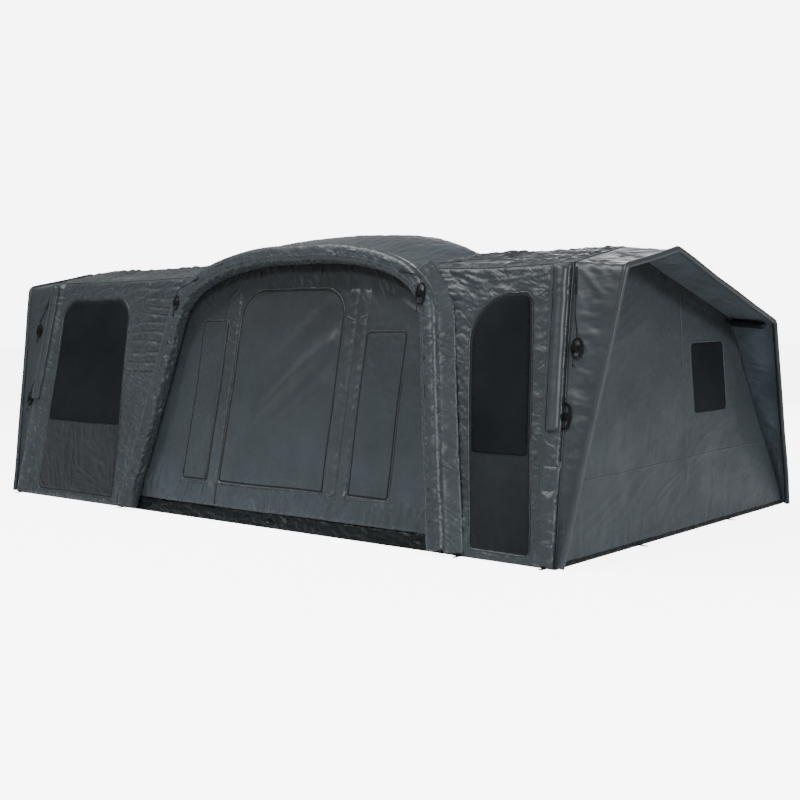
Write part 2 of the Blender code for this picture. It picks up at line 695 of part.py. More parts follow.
def beam_path(radius, bend):
    """Line of an end beam inside the skin, as (y, z), standing on the groundsheet."""
    inner = grown(list(SECTION)[::-1], -(BEAM_INSET + radius))[::-1]
    base = SHEET + SEAT
    front = base + sink(radius, FRONT_LEAN, END_LEAN)
    rear = base + sink(radius, REAR_LEAN, END_LEAN)
    inner[0] = crossing(inner[0], inner[1], (0, front), (1, front))
    inner[-1] = crossing(inner[-2], inner[-1], (0, rear), (1, rear))
    return rounded(inner, (0, bend, bend, bend, 0), closed=False)


def build_beams():
    """Inflated beams: one round each end, the two arches and one under the ridge."""
    for word, side in (("left", -1), ("right", 1)):
        path = []
        for y, z in beam_path(END_TUBE, END_BEND):
            path.append((side * (end_x(z) - (BEAM_INSET + END_TUBE) * END_SECANT), y, z))
        tube(f"{word}_end_beam", path, END_TUBE, 3, BEAM_GREY)
    splay = (ARCH_FOOT_HALF - ARCH_HEAD_HALF) / (ARCH_SHOULDER + ARCH_RISE)
    foot = sink(ARCH_TUBE, FRONT_LEAN, splay)
    lift = ARCH_TUBE + SEAT
    line = [(x, s, lift) for x, s in up_front(cut_foot(arch(ARCH_TUBE), foot))]
    tube("front_arch_beam", line, ARCH_TUBE, 4, SLATE, FRONT)
    foot = sink(ARCH_TUBE, REAR_LEAN, splay / REAR_SHARE)
    line = [(x, s, lift) for x, s in up_rear(cut_foot(arch(ARCH_TUBE, REAR_SHARE), foot))]
    tube("rear_arch_beam", line, ARCH_TUBE, 4, SLATE, REAR)


def build_groundsheet():
    """Groundsheet: a tray whose rim leans in with the walls."""
    rim = RIM_HEIGHT
    corners = []
    for height in (0, rim):
        front = front_y(height) + SKIN * FRONT_SECANT + SEAT
        rear = rear_y(height) - SKIN * REAR_SECANT - SEAT
        half = skin_end_x(height)
        corners += [(-half, front, height), (half, front, height), (half, rear, height), (-half, rear, height)]
    faces = [(3, 2, 1, 0), (0, 1, 5, 4), (1, 2, 6, 5), (2, 3, 7, 6), (3, 0, 4, 7)]
    mesh = bpy.data.meshes.new("groundsheet")
    mesh.from_pydata(corners, [], faces)
    sheet = place("groundsheet", mesh, Matrix.Identity(4), SHEET_BLACK)
    thick = sheet.modifiers.new("sheet", "SOLIDIFY")
    thick.thickness = SHEET
    thick.offset = -1
    thick.use_even_offset = True


def build_leaves():
    """Doors and window covers, each with its origin on its hinge, and their nets."""
    door = up_front(FRONT_DOOR)
    panel("front_door", FRONT, ring(door, FRONT_DOOR_CURVES), pivot=door[1])
    for name, corners in (("front_left", LEFT_FLAP), ("front_right", RIGHT_FLAP)):
        flap = up_front(corners)
        cover = SKIN - NET - SEAT
        panel(f"{name}_cover", FRONT, ring(flap, FLAP_CURVES), cloth=cover, pivot=flap[0])
        panel(f"{name}_window", FRONT, ring(flap, FLAP_CURVES), cloth=NET, lift=-cover - SEAT,
              colour=NET_BLACK)
    for word, edges, corners, curves, head, hinge in (
            ("left", LEFT_EDGES, LEFT_DOOR, LEFT_CURVES, LEFT_DOOR_HEAD, 0),
            ("right", RIGHT_EDGES, RIGHT_DOOR, RIGHT_CURVES, RIGHT_DOOR_HEAD, 1)):
        pane = up_front(leaf(*edges, PANE_SILL, head - PANE_BORDER, PANE_BORDER))
        pivot = up_front(corners)[hinge]
        panel(f"{word}_door", FRONT, ring(up_front(corners), curves), [ring(pane, curves, SEAT)], pivot=pivot)
        panel(f"{word}_door_net", FRONT, ring(pane, curves), cloth=NET, pivot=pivot, colour=NET_BLACK)


def turned(name, profile, matrix, colour):
    """A turned piece from an open profile of (radius, height) points, outer side from top to bottom."""
    mesh = bpy.data.meshes.new(name)
    edges = [(k, k + 1) for k in range(len(profile) - 1)]
    mesh.from_pydata([(radius, 0, height) for radius, height in profile], edges, [])
    piece = place(name, mesh, matrix, colour)
    screw = piece.modifiers.new("turn", "SCREW")
    screw.steps = TURNED_STEPS
    screw.render_steps = TURNED_STEPS
    screw.use_merge_vertices = True
    screw.merge_threshold = MERGE
    screw.use_smooth_shade = False
    return piece


def build_valves():
    """Inflation valves on the end beams, with their caps and cloth covers."""
    for word, side in (("left", -1), ("right", 1)):
        spot = FRONT @ Matrix.Translation((side * valve_x(), on_front(VALVE_HEIGHT), 0))
        flange = SEAT + VALVE_FLANGE_HEIGHT
        neck = flange + VALVE_NECK_HEIGHT
        base = BEAM_INSET - SEAT
        turned(f"{word}_valve", [(0, neck), (VALVE_NECK, neck), (VALVE_NECK, flange), (VALVE_FLANGE, flange),
                                 (VALVE_FLANGE, SEAT), (VALVE_STEM, SEAT), (VALVE_STEM, -base), (0, -base)],
               spot, PLASTIC_BLACK)
        inner = VALVE_NECK + SEAT
        outer = inner + CAP_WALL
        low = flange + SEAT
        top = low + CAP_HEIGHT
        turned(f"{word}_valve_cap", [(0, top), (outer - GRAIN, top), (outer, top - GRAIN), (outer, low),
                                     (inner, low), (inner, neck + SEAT), (0, neck + SEAT)],
               spot, PLASTIC_BLACK)
        build_cover(word, side, top)


def build_cover(word, side, top):
    """Cloth cover over a valve, hung from its upper edge and bulging over the cap."""
    hinge = on_front(VALVE_HEIGHT) + COVER_ABOVE
    matrix = FRONT @ Matrix.Translation((side * valve_x(), hinge, SEAT + COVER_CLOTH))
    rows = []
    for row in range(COVER_STEPS + 1):
        down = row / COVER_STEPS
        line = []
        for column in range(COVER_STEPS + 1):
            across = column / COVER_STEPS * 2 - 1
            swell = min(1, COVER_SWELL_DOWN_SHARE * math.sin(math.pi * down))
            swell *= min(1, COVER_SWELL_ACROSS_SHARE * (1 - abs(across) ** 3))
            line.append((across * COVER_WIDTH / 2, -down * COVER_HEIGHT, swell * (top + SEAT)))
        rows.append(line)
    cover = surface(f"{word}_valve_cover", rows[::-1], COVER_CLOTH)
    cover.matrix_world = matrix


def build_sliders():
    """Zip sliders with their pulls, on the wall beside each zip, in line with the edge they run along."""
    half, pull = SLIDER_WIDTH / 2, PULL_WIDTH / 2
    drop = SLIDER_LENGTH - PULL_LENGTH
    outline = [(-half, 0), (-pull, 0), (-pull, drop), (pull, drop), (pull, 0), (half, 0),
               (half, SLIDER_LENGTH), (-half, SLIDER_LENGTH)]
    for name, corners, foot, head, way in (
            ("front_door", FRONT_DOOR, 0, 3, -1), ("left_door", LEFT_DOOR, 1, 2, 1),
            ("right_door", RIGHT_DOOR, 0, 3, -1), ("front_left_cover", LEFT_FLAP, 0, 3, -1),
            ("front_right_cover", RIGHT_FLAP, 0, 3, -1)):
        low, high = (Vector(up_front(corners)[k]) for k in (foot, head))
        along = (high - low).normalized()
        angle = math.atan2(along.y, along.x) - math.pi / 2
        spot = low + along * (LEAF_CORNER + PULL_LENGTH)
        shift = Matrix.Translation((*spot, 0)) @ Matrix.Rotation(angle, 4, "Z")
        shift @= Matrix.Translation((way * (half + 2 * SEAT), 0, 0))
        panel(f"{name}_slider", FRONT @ shift, outline, cloth=SLIDER_HEIGHT, lift=SLIDER_HEIGHT + SEAT,
              colour=PLASTIC_BLACK)


def fuse(piece, shapes):
    """Join solids, each given as a mesh and its frame, to the piece that carries them."""
    work = bmesh.new()
    for mesh, matrix in shapes:
        mesh.transform(matrix)
        work.from_mesh(mesh)
    whole = bpy.data.meshes.new(f"{piece.name}_tabs")
    work.to_mesh(whole)
    work.free()
    helper = bpy.data.objects.new(whole.name, whole)
    CUTTERS.objects.link(helper)
    helper.hide_render = True
    helper.display_type = "WIRE"
    union = piece.modifiers.new("tabs", "BOOLEAN")
    union.operation = "UNION"
    union.object = helper


def tab(width, length, cloth=TAB_CLOTH, root=0, hole=0):
    """Flat webbing tab along +y from a root behind the origin, its upper side at zero, with a round end."""
    half = width / 2
    corners = [(-half, -root), (half, -root), (half, length), (-half, length)]
    rings = [rounded(corners, (0, 0, half / 2, half / 2))]
    if hole:
        rings.append(circle((0, length - half), hole, TAB_HOLE_SIDES))
    return curve_to_panel(outlines("tab", rings, cloth), cloth)


def outlines(name, rings, cloth):
    """Filled curve through closed rings of points; every ring after the first is a hole."""
    curve = bpy.data.curves.new(name, "CURVE")
    curve.dimensions = "2D"
    curve.fill_mode = "BOTH"
    curve.extrude = cloth / 2
    for loop in rings:
        spline = curve.splines.new("POLY")
        spline.points.add(len(loop) - 1)
        for point, (x, y) in zip(spline.points, loop):
            point.co = (x, y, 0, 1)
        spline.use_cyclic_u = True
    return curve


def arch_x(height, side, inset):
    """x of the front arch's line at a height above its shoulder, on one side."""
    line = [p for p in arch(inset) if (p[0] - ARCH_OFFSET) * side > 0]
    line.sort(key=lambda p: p[1])
    above = next(k for k, p in enumerate(line) if p[1] > height)
    return interpolate(line[above - 1], line[above], height)


def on_cloth(x, height, lift):
    """Frame on the front face at a place, turned so that its y runs down the slope."""
    return FRONT @ Matrix.Translation((x, on_front(height), lift)) @ Matrix.Rotation(math.pi, 4, "Z")


def strap(a, b, width, lift=TAB_CLOTH, cloth=TAB_CLOTH + SKIN / 2):
    """Mesh and frame of a webbing strap laid along the front face between two of its points."""
    angle = math.atan2(b[1] - a[1], b[0] - a[0]) - math.pi / 2
    frame = FRONT @ Matrix.Translation((*a, lift)) @ Matrix.Rotation(angle, 4, "Z")
    return tab(width, math.dist(a, b), cloth), frame


def arch_tab(side, height, high):
    """Ends of the tab on the arch that points at a hank lower down, as points of the front face."""
    top = (arch_x(height, side, ARCH_TUBE) - HANK_LEAD, on_front(height) + high / 2 + HANK_LEAD)
    root = Vector((arch_x(ARCH_TAB_HEIGHT, side, ARCH_TUBE), on_front(ARCH_TAB_HEIGHT)))
    way = (Vector(top) - root).normalized()
    return root, root + way * GUY_TAB_LENGTH


def peg_tabs():
    """Webbing tabs for pegs round the foot, which run in under the walls to the groundsheet."""
    shapes = []
    out = BODY_LENGTH / 2 - TAB_END_GAP
    beside = ARCH_FOOT_HALF + TAB_ARCH_GAP
    for x in (-out, ARCH_OFFSET - beside, ARCH_OFFSET + beside, out):
        for side, y in ((-1, FRONT_Y), (1, REAR_Y)):
            spin = Matrix.Rotation(0 if side > 0 else math.pi, 4, "Z")
            shift = Matrix.Translation((x, y, TAB_CLOTH))
            shapes.append((tab(TAB_WIDTH, TAB_LENGTH, root=TAB_WIDTH, hole=TAB_HOLE), shift @ spin))
    for side in (-1, 1):
        for y in (-TAB_SPREAD, TAB_SPREAD):
            spin = Matrix.Rotation(-side * math.pi / 2, 4, "Z")
            shift = Matrix.Translation((side * BODY_LENGTH / 2, y, TAB_CLOTH))
            shapes.append((tab(TAB_WIDTH, TAB_LENGTH, root=TAB_WIDTH, hole=TAB_HOLE), shift @ spin))
    return shapes


def build_tabs():
    """Webbing for pegs and guy lines, each sewn to the cloth that carries it."""
    pieces = bpy.data.objects
    fuse(pieces["groundsheet"], peg_tabs())
    for word, (x, height) in (("right", LOWER_TAB), ("left", LEFT_LOWER_TAB)):
        shape = tab(GUY_TAB_WIDTH, GUY_TAB_LENGTH, TAB_CLOTH + SKIN / 2)
        fuse(pieces[f"{word}_front_wall"], [(shape, on_cloth(x, height, TAB_CLOTH))])
    fuse(pieces["right_porch_hood"], [strap(*up_front(RIGHT_STRAP), STRAP_WIDTH)])
    fuse(pieces["left_porch_hood"], [strap(*up_front(LEFT_STRAP), STRAP_WIDTH)])
    crest = 2 * ARCH_TUBE + SEAT + TAB_CLOTH
    shapes = []
    for side, (height, _, high, _) in ((-1, ARCH_LEFT_HANK), (1, ARCH_RIGHT_HANK)):
        shapes.append(strap(*arch_tab(side, height, high), GUY_TAB_WIDTH, crest, ARCH_TAB_CLOTH))
    fuse(as_mesh(pieces["front_arch_beam"]), shapes)


def hank(width, height, turns):
    """Points of a cord wound up in loops, round the origin, starting at the top.

    The cord turns clockwise on a long oval that shrinks evenly for half of its turns and grows
    again for the other half, one layer higher; it climbs during the half turn between them. The
    oval is drawn in towards its middle as a parabola of the height. Both ends bend out of the oval
    by a quarter circle and run straight.
    """
    count = int(turns * LOOP_POINTS)
    top = height / 2
    lead = [(-HANK_LEAD, top + HANK_LEAD + 2 * CORD, 0)]
    for k in range(LEAD_POINTS):
        angle = math.pi / 2 * k / LEAD_POINTS
        lead.append((-HANK_LEAD * math.cos(angle), top + HANK_LEAD * (1 - math.sin(angle)), 0))
    points = []
    for k in range(count + 1):
        run = k / LOOP_POINTS
        inset = HANK_STEP * min(run, turns - run)
        angle = math.pi / 2 - 2 * math.pi * run
        y = (top - inset) * math.sin(angle)
        waist = 1 - WAIST_SHARE * (1 - (y / top) ** 2)
        x = (width / 2 - inset) * math.cos(angle) * waist
        climb = min(1, max(0, (run - turns / 2) / CLIMB_SHARE + 1 / 2))
        points.append((x, y, HANK_LAYER * climb * climb * (3 - 2 * climb)))
    tail = [(x, -y, HANK_LAYER) for x, y, _ in reversed(lead)]
    tail[-1] = (-HANK_LEAD, -top - HANK_LEAD - HANK_TAIL, HANK_LAYER)
    return lead + points + tail


def self_gap(points):
    """Least distance between stretches of a cord that don't follow each other, less its diameter."""
    line = np.array(points)
    fine = np.concatenate([line[:-1] + (line[1:] - line[:-1]) * share for share in GAP_SHARES])
    run = np.concatenate([np.arange(len(line) - 1) + share for share in GAP_SHARES])
    apart = np.linalg.norm(fine[:, None] - fine[None], axis=2)
    apart[np.abs(run[:, None] - run[None]) < LEAD_POINTS] = math.inf
    return apart.min() - 2 * CORD


def smooth_route(points):
    """Places along a smooth curve through the route's own points, a few diameters apart."""
    line = np.array(points, float)
    padded = np.vstack([2 * line[0] - line[1], line, 2 * line[-1] - line[-2]])
    result = [line[0]]
    for p, q, r, s in zip(padded, padded[1:], padded[2:], padded[3:]):
        count = max(1, round(float(np.linalg.norm(r - q)) / CORD_STEP))
        for step in range(1, count + 1):
            t = step / count
            result.append(0.5 * (2 * q + (r - p) * t + (2 * p - 5 * q + 4 * r - s) * t ** 2
                                 + (3 * q - p - 3 * r + s) * t ** 3))
    return [tuple(point) for point in result]


def guy_line(name, start, route, centre, wound_size, lift):
    """One guy line: a stretch down from its tab or strap, and the hank that it is tied up in."""
    x, s = up_front([centre])[0]
    rest = lift + CORD
    wound = [(x + px, s + py, rest + pz) for px, py, pz in hank(*wound_size)]
    top = wound[0]
    path = [(*start, rest)]
    path += [(*p, rest) for p in up_front(route)]
    path += [(top[0], top[1] + CORD_RUN, rest), (top[0], top[1] + SEAT, rest)]
    tube(f"{name}_line", smooth_route(path), CORD, 2, CORD_BLACK, FRONT)
    tube(f"{name}_hank", wound, CORD, 1, CORD_BLACK, FRONT)
    length = sum(math.dist(a, b) for a, b in zip(wound, wound[1:]))
    print(f"{name}: hank {length:.2f} m of cord, least gap to itself {self_gap(wound) * 1000:.2f} mm")


def past(a, b):
    """Point just past the end of a strap, in line with it."""
    return tuple(Vector(b) + (Vector(b) - Vector(a)).normalized() * SEAT * 2)


def build_guys():
    """Guy lines at both front corners and on both shoulders of the arch."""
    for name, place_in, route, (x, height, *wound_size) in (
            ("right_lower_guy", LOWER_TAB, RIGHT_LOWER_ROUTE, RIGHT_LOWER_HANK),
            ("left_lower_guy", LEFT_LOWER_TAB, LEFT_LOWER_ROUTE, LEFT_LOWER_HANK)):
        start = (place_in[0], on_front(place_in[1]) - GUY_TAB_LENGTH - SEAT)
        guy_line(name, start, route, (x, height), wound_size, SEAT)
    for name, ends, route, (x, height, *wound_size) in (
            ("right_upper_guy", RIGHT_STRAP, RIGHT_UPPER_ROUTE, RIGHT_UPPER_HANK),
            ("left_upper_guy", LEFT_STRAP, LEFT_UPPER_ROUTE, LEFT_UPPER_HANK)):
        guy_line(name, past(*up_front(ends)), route, (x, height), wound_size, SEAT)
    crest = 2 * (ARCH_TUBE + SEAT)
    for name, side, (height, *wound_size) in (("arch_left_guy", -1, ARCH_LEFT_HANK),
                                              ("arch_right_guy", 1, ARCH_RIGHT_HANK)):
        start = past(*arch_tab(side, height, wound_size[1]))
        guy_line(name, start, (), (arch_x(height, side, ARCH_TUBE), height), wound_size, crest)


def build_ridge():
    """Beam under the ridge, from one end beam to the other."""
    inner = grown(list(SECTION)[::-1], -(SKIN + SEAT + RIDGE_TUBE))[::-1]
    y, z = inner[2]
    reach = end_x(z) - (BEAM_INSET + 2 * END_TUBE) * END_SECANT - RIDGE_TUBE * END_LEAN - SEAT
    tube("ridge_beam", [(-reach, y, z), (0, y, z), (reach, y, z)], RIDGE_TUBE, 3, BEAM_GREY)


build_front()
build_rear()
build_roofs()
build_dome()
build_ends()
build_porches()
build_beams()
build_ridge()
build_groundsheet()
build_leaves()
build_valves()
build_sliders()
build_tabs()
build_guys()
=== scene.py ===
# %% [markdown]
# # Inflatable family tent
#
# The tent is thin coated cloth stretched over air-filled tubes. Cloth has three kinds of shape at
# once: the flat cut of each panel, the long folds that tension pulls into it, and the small creases
# that it keeps from being packed. This lesson makes them in that order: a flat outline is filled with
# points, a relief lifts the points off the flat, and a material adds what is too small for points.
# Lengths are metres, +Z is up and the front looks along -Y, as in the frame that is loaded first.

# %% Load the frame
import itertools
import math

import bpy
import numpy as np
from mathutils import Matrix
from mathutils.geometry import delaunay_2d_cdt


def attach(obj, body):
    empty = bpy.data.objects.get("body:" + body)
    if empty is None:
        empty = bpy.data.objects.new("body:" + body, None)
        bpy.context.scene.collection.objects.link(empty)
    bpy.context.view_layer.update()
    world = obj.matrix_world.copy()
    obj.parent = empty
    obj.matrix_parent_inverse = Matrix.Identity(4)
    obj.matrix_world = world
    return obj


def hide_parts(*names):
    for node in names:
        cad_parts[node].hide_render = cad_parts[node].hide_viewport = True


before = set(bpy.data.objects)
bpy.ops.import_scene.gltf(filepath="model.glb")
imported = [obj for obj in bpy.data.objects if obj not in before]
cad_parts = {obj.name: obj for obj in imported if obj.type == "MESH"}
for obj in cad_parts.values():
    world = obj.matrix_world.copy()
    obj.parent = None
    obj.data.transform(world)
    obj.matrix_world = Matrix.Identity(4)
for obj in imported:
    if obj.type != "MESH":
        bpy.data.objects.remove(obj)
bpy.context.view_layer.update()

# %% [markdown]
# ## Section of the body
#
# Every panel lies on one of a few planes. A plane's own directions are x across, s up the slope and
# w outwards, so that a panel is drawn flat, as a sailmaker draws it, and then set up in its place.
# Pieces that lie against each other keep a small gap, SEAT, between them.

# %% Planes of the section
HALF_LENGTH = 3.21
HALF_DEPTH = 1.906
EAVE = np.array([-1.466, 2.10])
RIDGE = np.array([-0.741, 2.245])
REAR_EAVE = np.array([0.962, 1.70])
END_LEAN = 0.13 / 2.10
REAR_SHARE = REAR_EAVE[1] / EAVE[1]
SECTION = np.array([[-HALF_DEPTH, 0], EAVE, RIDGE, REAR_EAVE, [HALF_DEPTH, 0]])
FRONT_LEAN = (EAVE[0] + HALF_DEPTH) / EAVE[1]
REAR_LEAN = (HALF_DEPTH - REAR_EAVE[0]) / REAR_EAVE[1]
BODY_INSET, SEAT = 0.0064, 0.0003
SIDES = (("left", -1), ("right", 1))


def unit(vectors):
    """Vectors, along the last axis, of length 1."""
    return vectors / np.linalg.norm(vectors, axis=-1, keepdims=True)


def plane(foot, head, across):
    """Origin and directions (x across, s from foot to head, w outwards) of a flat face."""
    foot, head, across = (np.array(v, float) for v in (foot, head, across))
    up = unit(head - foot)
    return foot, across, up, np.cross(across, up)


def on(face, x, s, w=0):
    """Points at x across, s up and w out of a plane, as an (n, 3) array."""
    origin, across, up, out = face
    x, s, w = np.broadcast_arrays(np.asarray(x, float), s, w)
    return origin + x[..., None] * across + s[..., None] * up + w[..., None] * out


FRONT = plane((0, *SECTION[0]), (0, *EAVE), (1, 0, 0))
FRONT_ROOF = plane((0, *EAVE), (0, *RIDGE), (1, 0, 0))
REAR_ROOF = plane((0, *REAR_EAVE), (0, *RIDGE), (-1, 0, 0))
REAR = plane((0, *SECTION[4]), (0, *REAR_EAVE), (-1, 0, 0))
FRONT_SLOPE = 1 / FRONT[2][2]
REAR_SLOPE = 1 / REAR[2][2]
END_SLOPE = math.hypot(1, END_LEAN)


def end_plane(side):
    """Plane of an end wall; side is -1 at the left and 1 at the right."""
    head = (side * (HALF_LENGTH - END_LEAN * EAVE[1]), 0, EAVE[1])
    return plane((side * HALF_LENGTH, 0, 0), head, (0, side, 0))


def half_at(height):
    """Half length of the body at a height, inside the end walls."""
    return HALF_LENGTH - BODY_INSET - END_LEAN * height


def up_front(points):
    """Points given as (x, height), laid on the front plane as (x, s)."""
    return np.array(points, float) * (1, FRONT_SLOPE)


# %% [markdown]
# ## The arch
#
# The two arches are the tent's shape givers. Seen from the front each is a superellipse on legs
# that lean in a little, which is flatter at the top and tighter at the shoulders than an ellipse.

# %% Arch line
ARCH_X = 0.455
ARCH_FOOT, ARCH_HEAD = 1.88, 1.42
SHOULDER, ARCH_RISE = 1.70, 0.62
APEX = SHOULDER + ARCH_RISE
ARCH_POWER, ARCH_STEPS = 2.5, 96
ARCH_TUBE = 0.076


def arch_half(height):
    """Half width of the arch: it shrinks evenly from the ground to the apex."""
    return ARCH_FOOT + (ARCH_HEAD - ARCH_FOOT) * height / APEX


def arch_crown(angle, inset=0.0):
    """Places (x, height) of the arch above its shoulder, for angles from 180 to 0 degrees.

    Height is the shoulder plus the rise times sine to the power 2/2.5, and the half width is times
    cosine to that power.
    """
    power = 2 / ARCH_POWER
    height = SHOULDER + (ARCH_RISE - inset) * np.sin(angle).clip(0) ** power
    half = arch_half(height) - inset
    width = half * np.sign(np.cos(angle)) * np.abs(np.cos(angle)) ** power
    return np.column_stack([ARCH_X + width, height])


def arch(inset, share=1.0):
    """Arch from its left foot to its right as (x, height) rows: the crown on its two leaning legs."""
    crown = arch_crown(np.linspace(math.pi, 0, ARCH_STEPS + 1), inset)
    foot = ARCH_FOOT - inset
    line = np.vstack([[ARCH_X - foot, 0], crown, [ARCH_X + foot, 0]])
    return line * (1, share)


# %% [markdown]
# ## Noise for cloth
#
# Creases can't be random from point to point: they are smooth along their length. Gradient noise
# gives smooth bumps of one size, and folding it at zero turns the smooth slopes into sharp crests,
# which is what a crease is.

# %% Noise, creases and folds
LATTICE = 256
NOISE_SCALE = 1.7


def run_along(line):
    """Length of a line from its start to each of its points."""
    return np.concatenate([[0], np.cumsum(np.linalg.norm(np.diff(line, axis=0), axis=1))])


def noise(points, size, seed):
    """Smooth values, about -1 to 1, at (n, 3) points, with bumps about size across.

    Every corner of a cubic lattice has a fixed random direction. A point takes, from the eight
    corners round it, the dot product of that direction with its offset, blended by 6t^5-15t^4+10t^3.
    """
    random = np.random.default_rng(seed)
    directions = unit(random.normal(size=(LATTICE, 3)))
    table = np.tile(random.permutation(LATTICE), 3)
    place = np.asarray(points, float) / size
    cell = np.floor(place).astype(int)
    rest = place - cell
    ease = rest ** 3 * (rest * (rest * 6 - 15) + 10)
    total = np.zeros(len(place))
    for corner in itertools.product((0, 1), repeat=3):
        i, j, k = ((cell + corner) % LATTICE).T
        slope = directions[table[table[table[i] + j] + k]]
        weight = np.where(corner, ease, 1 - ease).prod(axis=1)
        total += weight * (slope * (rest - corner)).sum(axis=1)
    return total * NOISE_SCALE


def creases(points, size, seed):
    """Sharp crests, about -0.6 to 1: one minus the folded noise, in two sizes, on warped points."""
    warp = np.column_stack([noise(points, size, seed + k) for k in (1, 2, 3)])
    bent = points + warp * size * 0.35
    coarse = 1 - 2.6 * np.abs(noise(bent, size, seed + 4))
    fine = 1 - 2.6 * np.abs(noise(bent, size * 0.45, seed + 5))
    return coarse * 0.65 + fine * 0.35


def flat3(x, s, angle=0.0, stretch=1.0):
    """Flat places as (n, 3) points, with noise to be stretched along a direction by a factor."""
    c, d = math.cos(angle), math.sin(angle)
    return np.column_stack([(x * c + s * d) / stretch, s * c - x * d, np.zeros(np.size(x))])


def wrinkles(x, s, size, seed, angle=0.0, spread=0.55, stretch=4.0, width=0.42):
    """Thin raised lines, 0 to 1, with flat cloth between them, as (n,) values.

    Folded noise is drawn out along angle plus and minus spread, and a broad noise picks which of the
    two wins at a place. One minus the folded noise over width, clipped at 0, is the line.
    """
    choice = step_up(noise(flat3(x, s), size * 4, seed), -0.25, 0.25)
    total = np.zeros(np.size(x))
    for way, share in ((1, choice), (-1, 1 - choice)):
        drawn = flat3(x, s, angle + way * spread, stretch)
        drawn[:, 1] += 0.6 * size * noise(drawn, size * 1.5, seed + 3 + way)
        for part, scale in ((0.65, 1.0), (0.35, 0.5)):
            folded = np.abs(noise(drawn, size * scale, seed + 7 + way + round(4 * scale)))
            total += share * part * np.clip(1 - folded / width, 0, 1) ** 1.5
    return total


def step_up(value, low, high):
    """0 below low, 1 above high, and 3t^2-2t^3 between them."""
    t = np.clip((np.asarray(value, float) - low) / (high - low), 0, 1)
    return t * t * (3 - 2 * t)


def band(value, low, high, soft=0.02):
    """1 between low and high, with soft edges."""
    return step_up(value, low - soft, low + soft) * (1 - step_up(value, high - soft, high + soft))


def fold(x, s, start, stop, width, height):
    """A long fold between two places: height times a bell of the distance across it.

    Along its length the fold swells and dies away as the sine of the way from start to stop.
    """
    start, stop = np.array(start, float), np.array(stop, float)
    along = stop - start
    length = np.linalg.norm(along)
    along /= length
    dx, ds = x - start[0], s - start[1]
    way = (dx * along[0] + ds * along[1]) / length
    across = ds * along[0] - dx * along[1]
    swell = np.sin(math.pi * np.clip(way, 0, 1)) ** 0.7
    return height * swell * np.exp(-(across / width) ** 2)


# %% [markdown]
# ## The cloth settles
#
# A tent's edges are never straight: seams sag between the tubes and the ground isn't level. If each
# panel moved by itself, its seams would open. So one smooth field moves every piece alike, and
# neighbours stay joined. Hard parts sit where the frame has them, so the field is still near them.

# %% Settle field
VALVE_PLACES = np.array([[-3.092, -1.78, 0.60], [3.092, -1.78, 0.60]])
SETTLE = 0.009
VALVE_CALM = 0.22
SAG, SAGS = 0.016, ((2.35, 0.45), (-2.2, 0.6))


def settle(points):
    """Points moved by low noise in each direction, kept still near the ground and the valves.

    The roofs of the wings sag between the arch and the ends, each as a bell of x.
    """
    points = np.asarray(points, float)
    flat = points.reshape(-1, 3)
    move = np.column_stack([noise(flat, 0.75, 11), noise(flat, 0.75, 12), noise(flat, 0.60, 13)])
    calm = step_up(flat[:, 2], 0.0, 0.25)
    for valve in VALVE_PLACES:
        calm = calm * step_up(np.linalg.norm(flat - valve, axis=1), VALVE_CALM / 2, VALVE_CALM)
    between = sum(np.exp(-((flat[:, 0] - middle) / width) ** 2) for middle, width in SAGS)
    dip = -SAG * between * step_up(flat[:, 2], 1.85, 2.15)
    moved = flat + SETTLE * calm[:, None] * move
    moved[:, 2] += dip
    return moved.reshape(points.shape)


# %% [markdown]
# ## From an outline to a panel
#
# A grid can't follow a round door, and triangles fanned from corners can't bend. The outline is cut
# into short pieces, a honeycomb of points fills it, and a constrained Delaunay triangulation joins
# them, which leaves clean edges and even triangles.

# %% Outlines
def rounded(corners, radii, steps=10, closed=True):
    """Outline with an arc at each corner, from the circle that touches both of its edges."""
    corners = np.array(corners, float)
    line = []
    for k, radius in enumerate(radii):
        here = corners[k]
        if not closed and k in (0, len(corners) - 1):
            line.append(here[None])
            continue
        back, ahead = (corners[j % len(corners)] - here for j in (k - 1, k + 1))
        back, ahead = back / np.linalg.norm(back), ahead / np.linalg.norm(ahead)
        half = math.acos(np.clip(back @ ahead, -1, 1)) / 2
        middle = here + (back + ahead) / np.linalg.norm(back + ahead) * radius / math.sin(half)
        start, stop = (here + way * radius / math.tan(half) - middle for way in (back, ahead))
        t = np.linspace(0, 1, steps + 1)[:, None]
        spoke = start * (1 - t) + stop * t
        line.append(middle + spoke / np.linalg.norm(spoke, axis=1, keepdims=True).clip(1e-9) * radius)
    return np.vstack(line)


def divided(line, step, closed=True):
    """The line with every piece longer than step cut into equal shorter ones; its corners stay."""
    line = np.array(line, float)
    ends = np.roll(line, -1, axis=0) if closed else line[1:]
    starts = line if closed else line[:-1]
    pieces = []
    for a, b in zip(starts, ends):
        count = max(1, math.ceil(np.linalg.norm(b - a) / step))
        pieces.append(a + (b - a) * np.linspace(0, 1, count, endpoint=False)[:, None])
    if not closed:
        pieces.append(line[-1:])
    line = np.vstack(pieces)
    keep = np.linalg.norm(line - np.roll(line, 1, axis=0), axis=1) > step / 20
    keep[0] = True
    return line[keep]


def inside(points, ring):
    """Which points are inside a ring: a ray from each crosses its edges an odd number of times."""
    x, y = points.T
    within = np.zeros(len(points), bool)
    for (ax, ay), (bx, by) in zip(ring, np.roll(ring, -1, axis=0)):
        crosses = (ay > y) != (by > y)
        height = by - ay if by != ay else 1.0
        within ^= crosses & (x < ax + (y - ay) / height * (bx - ax))
    return within


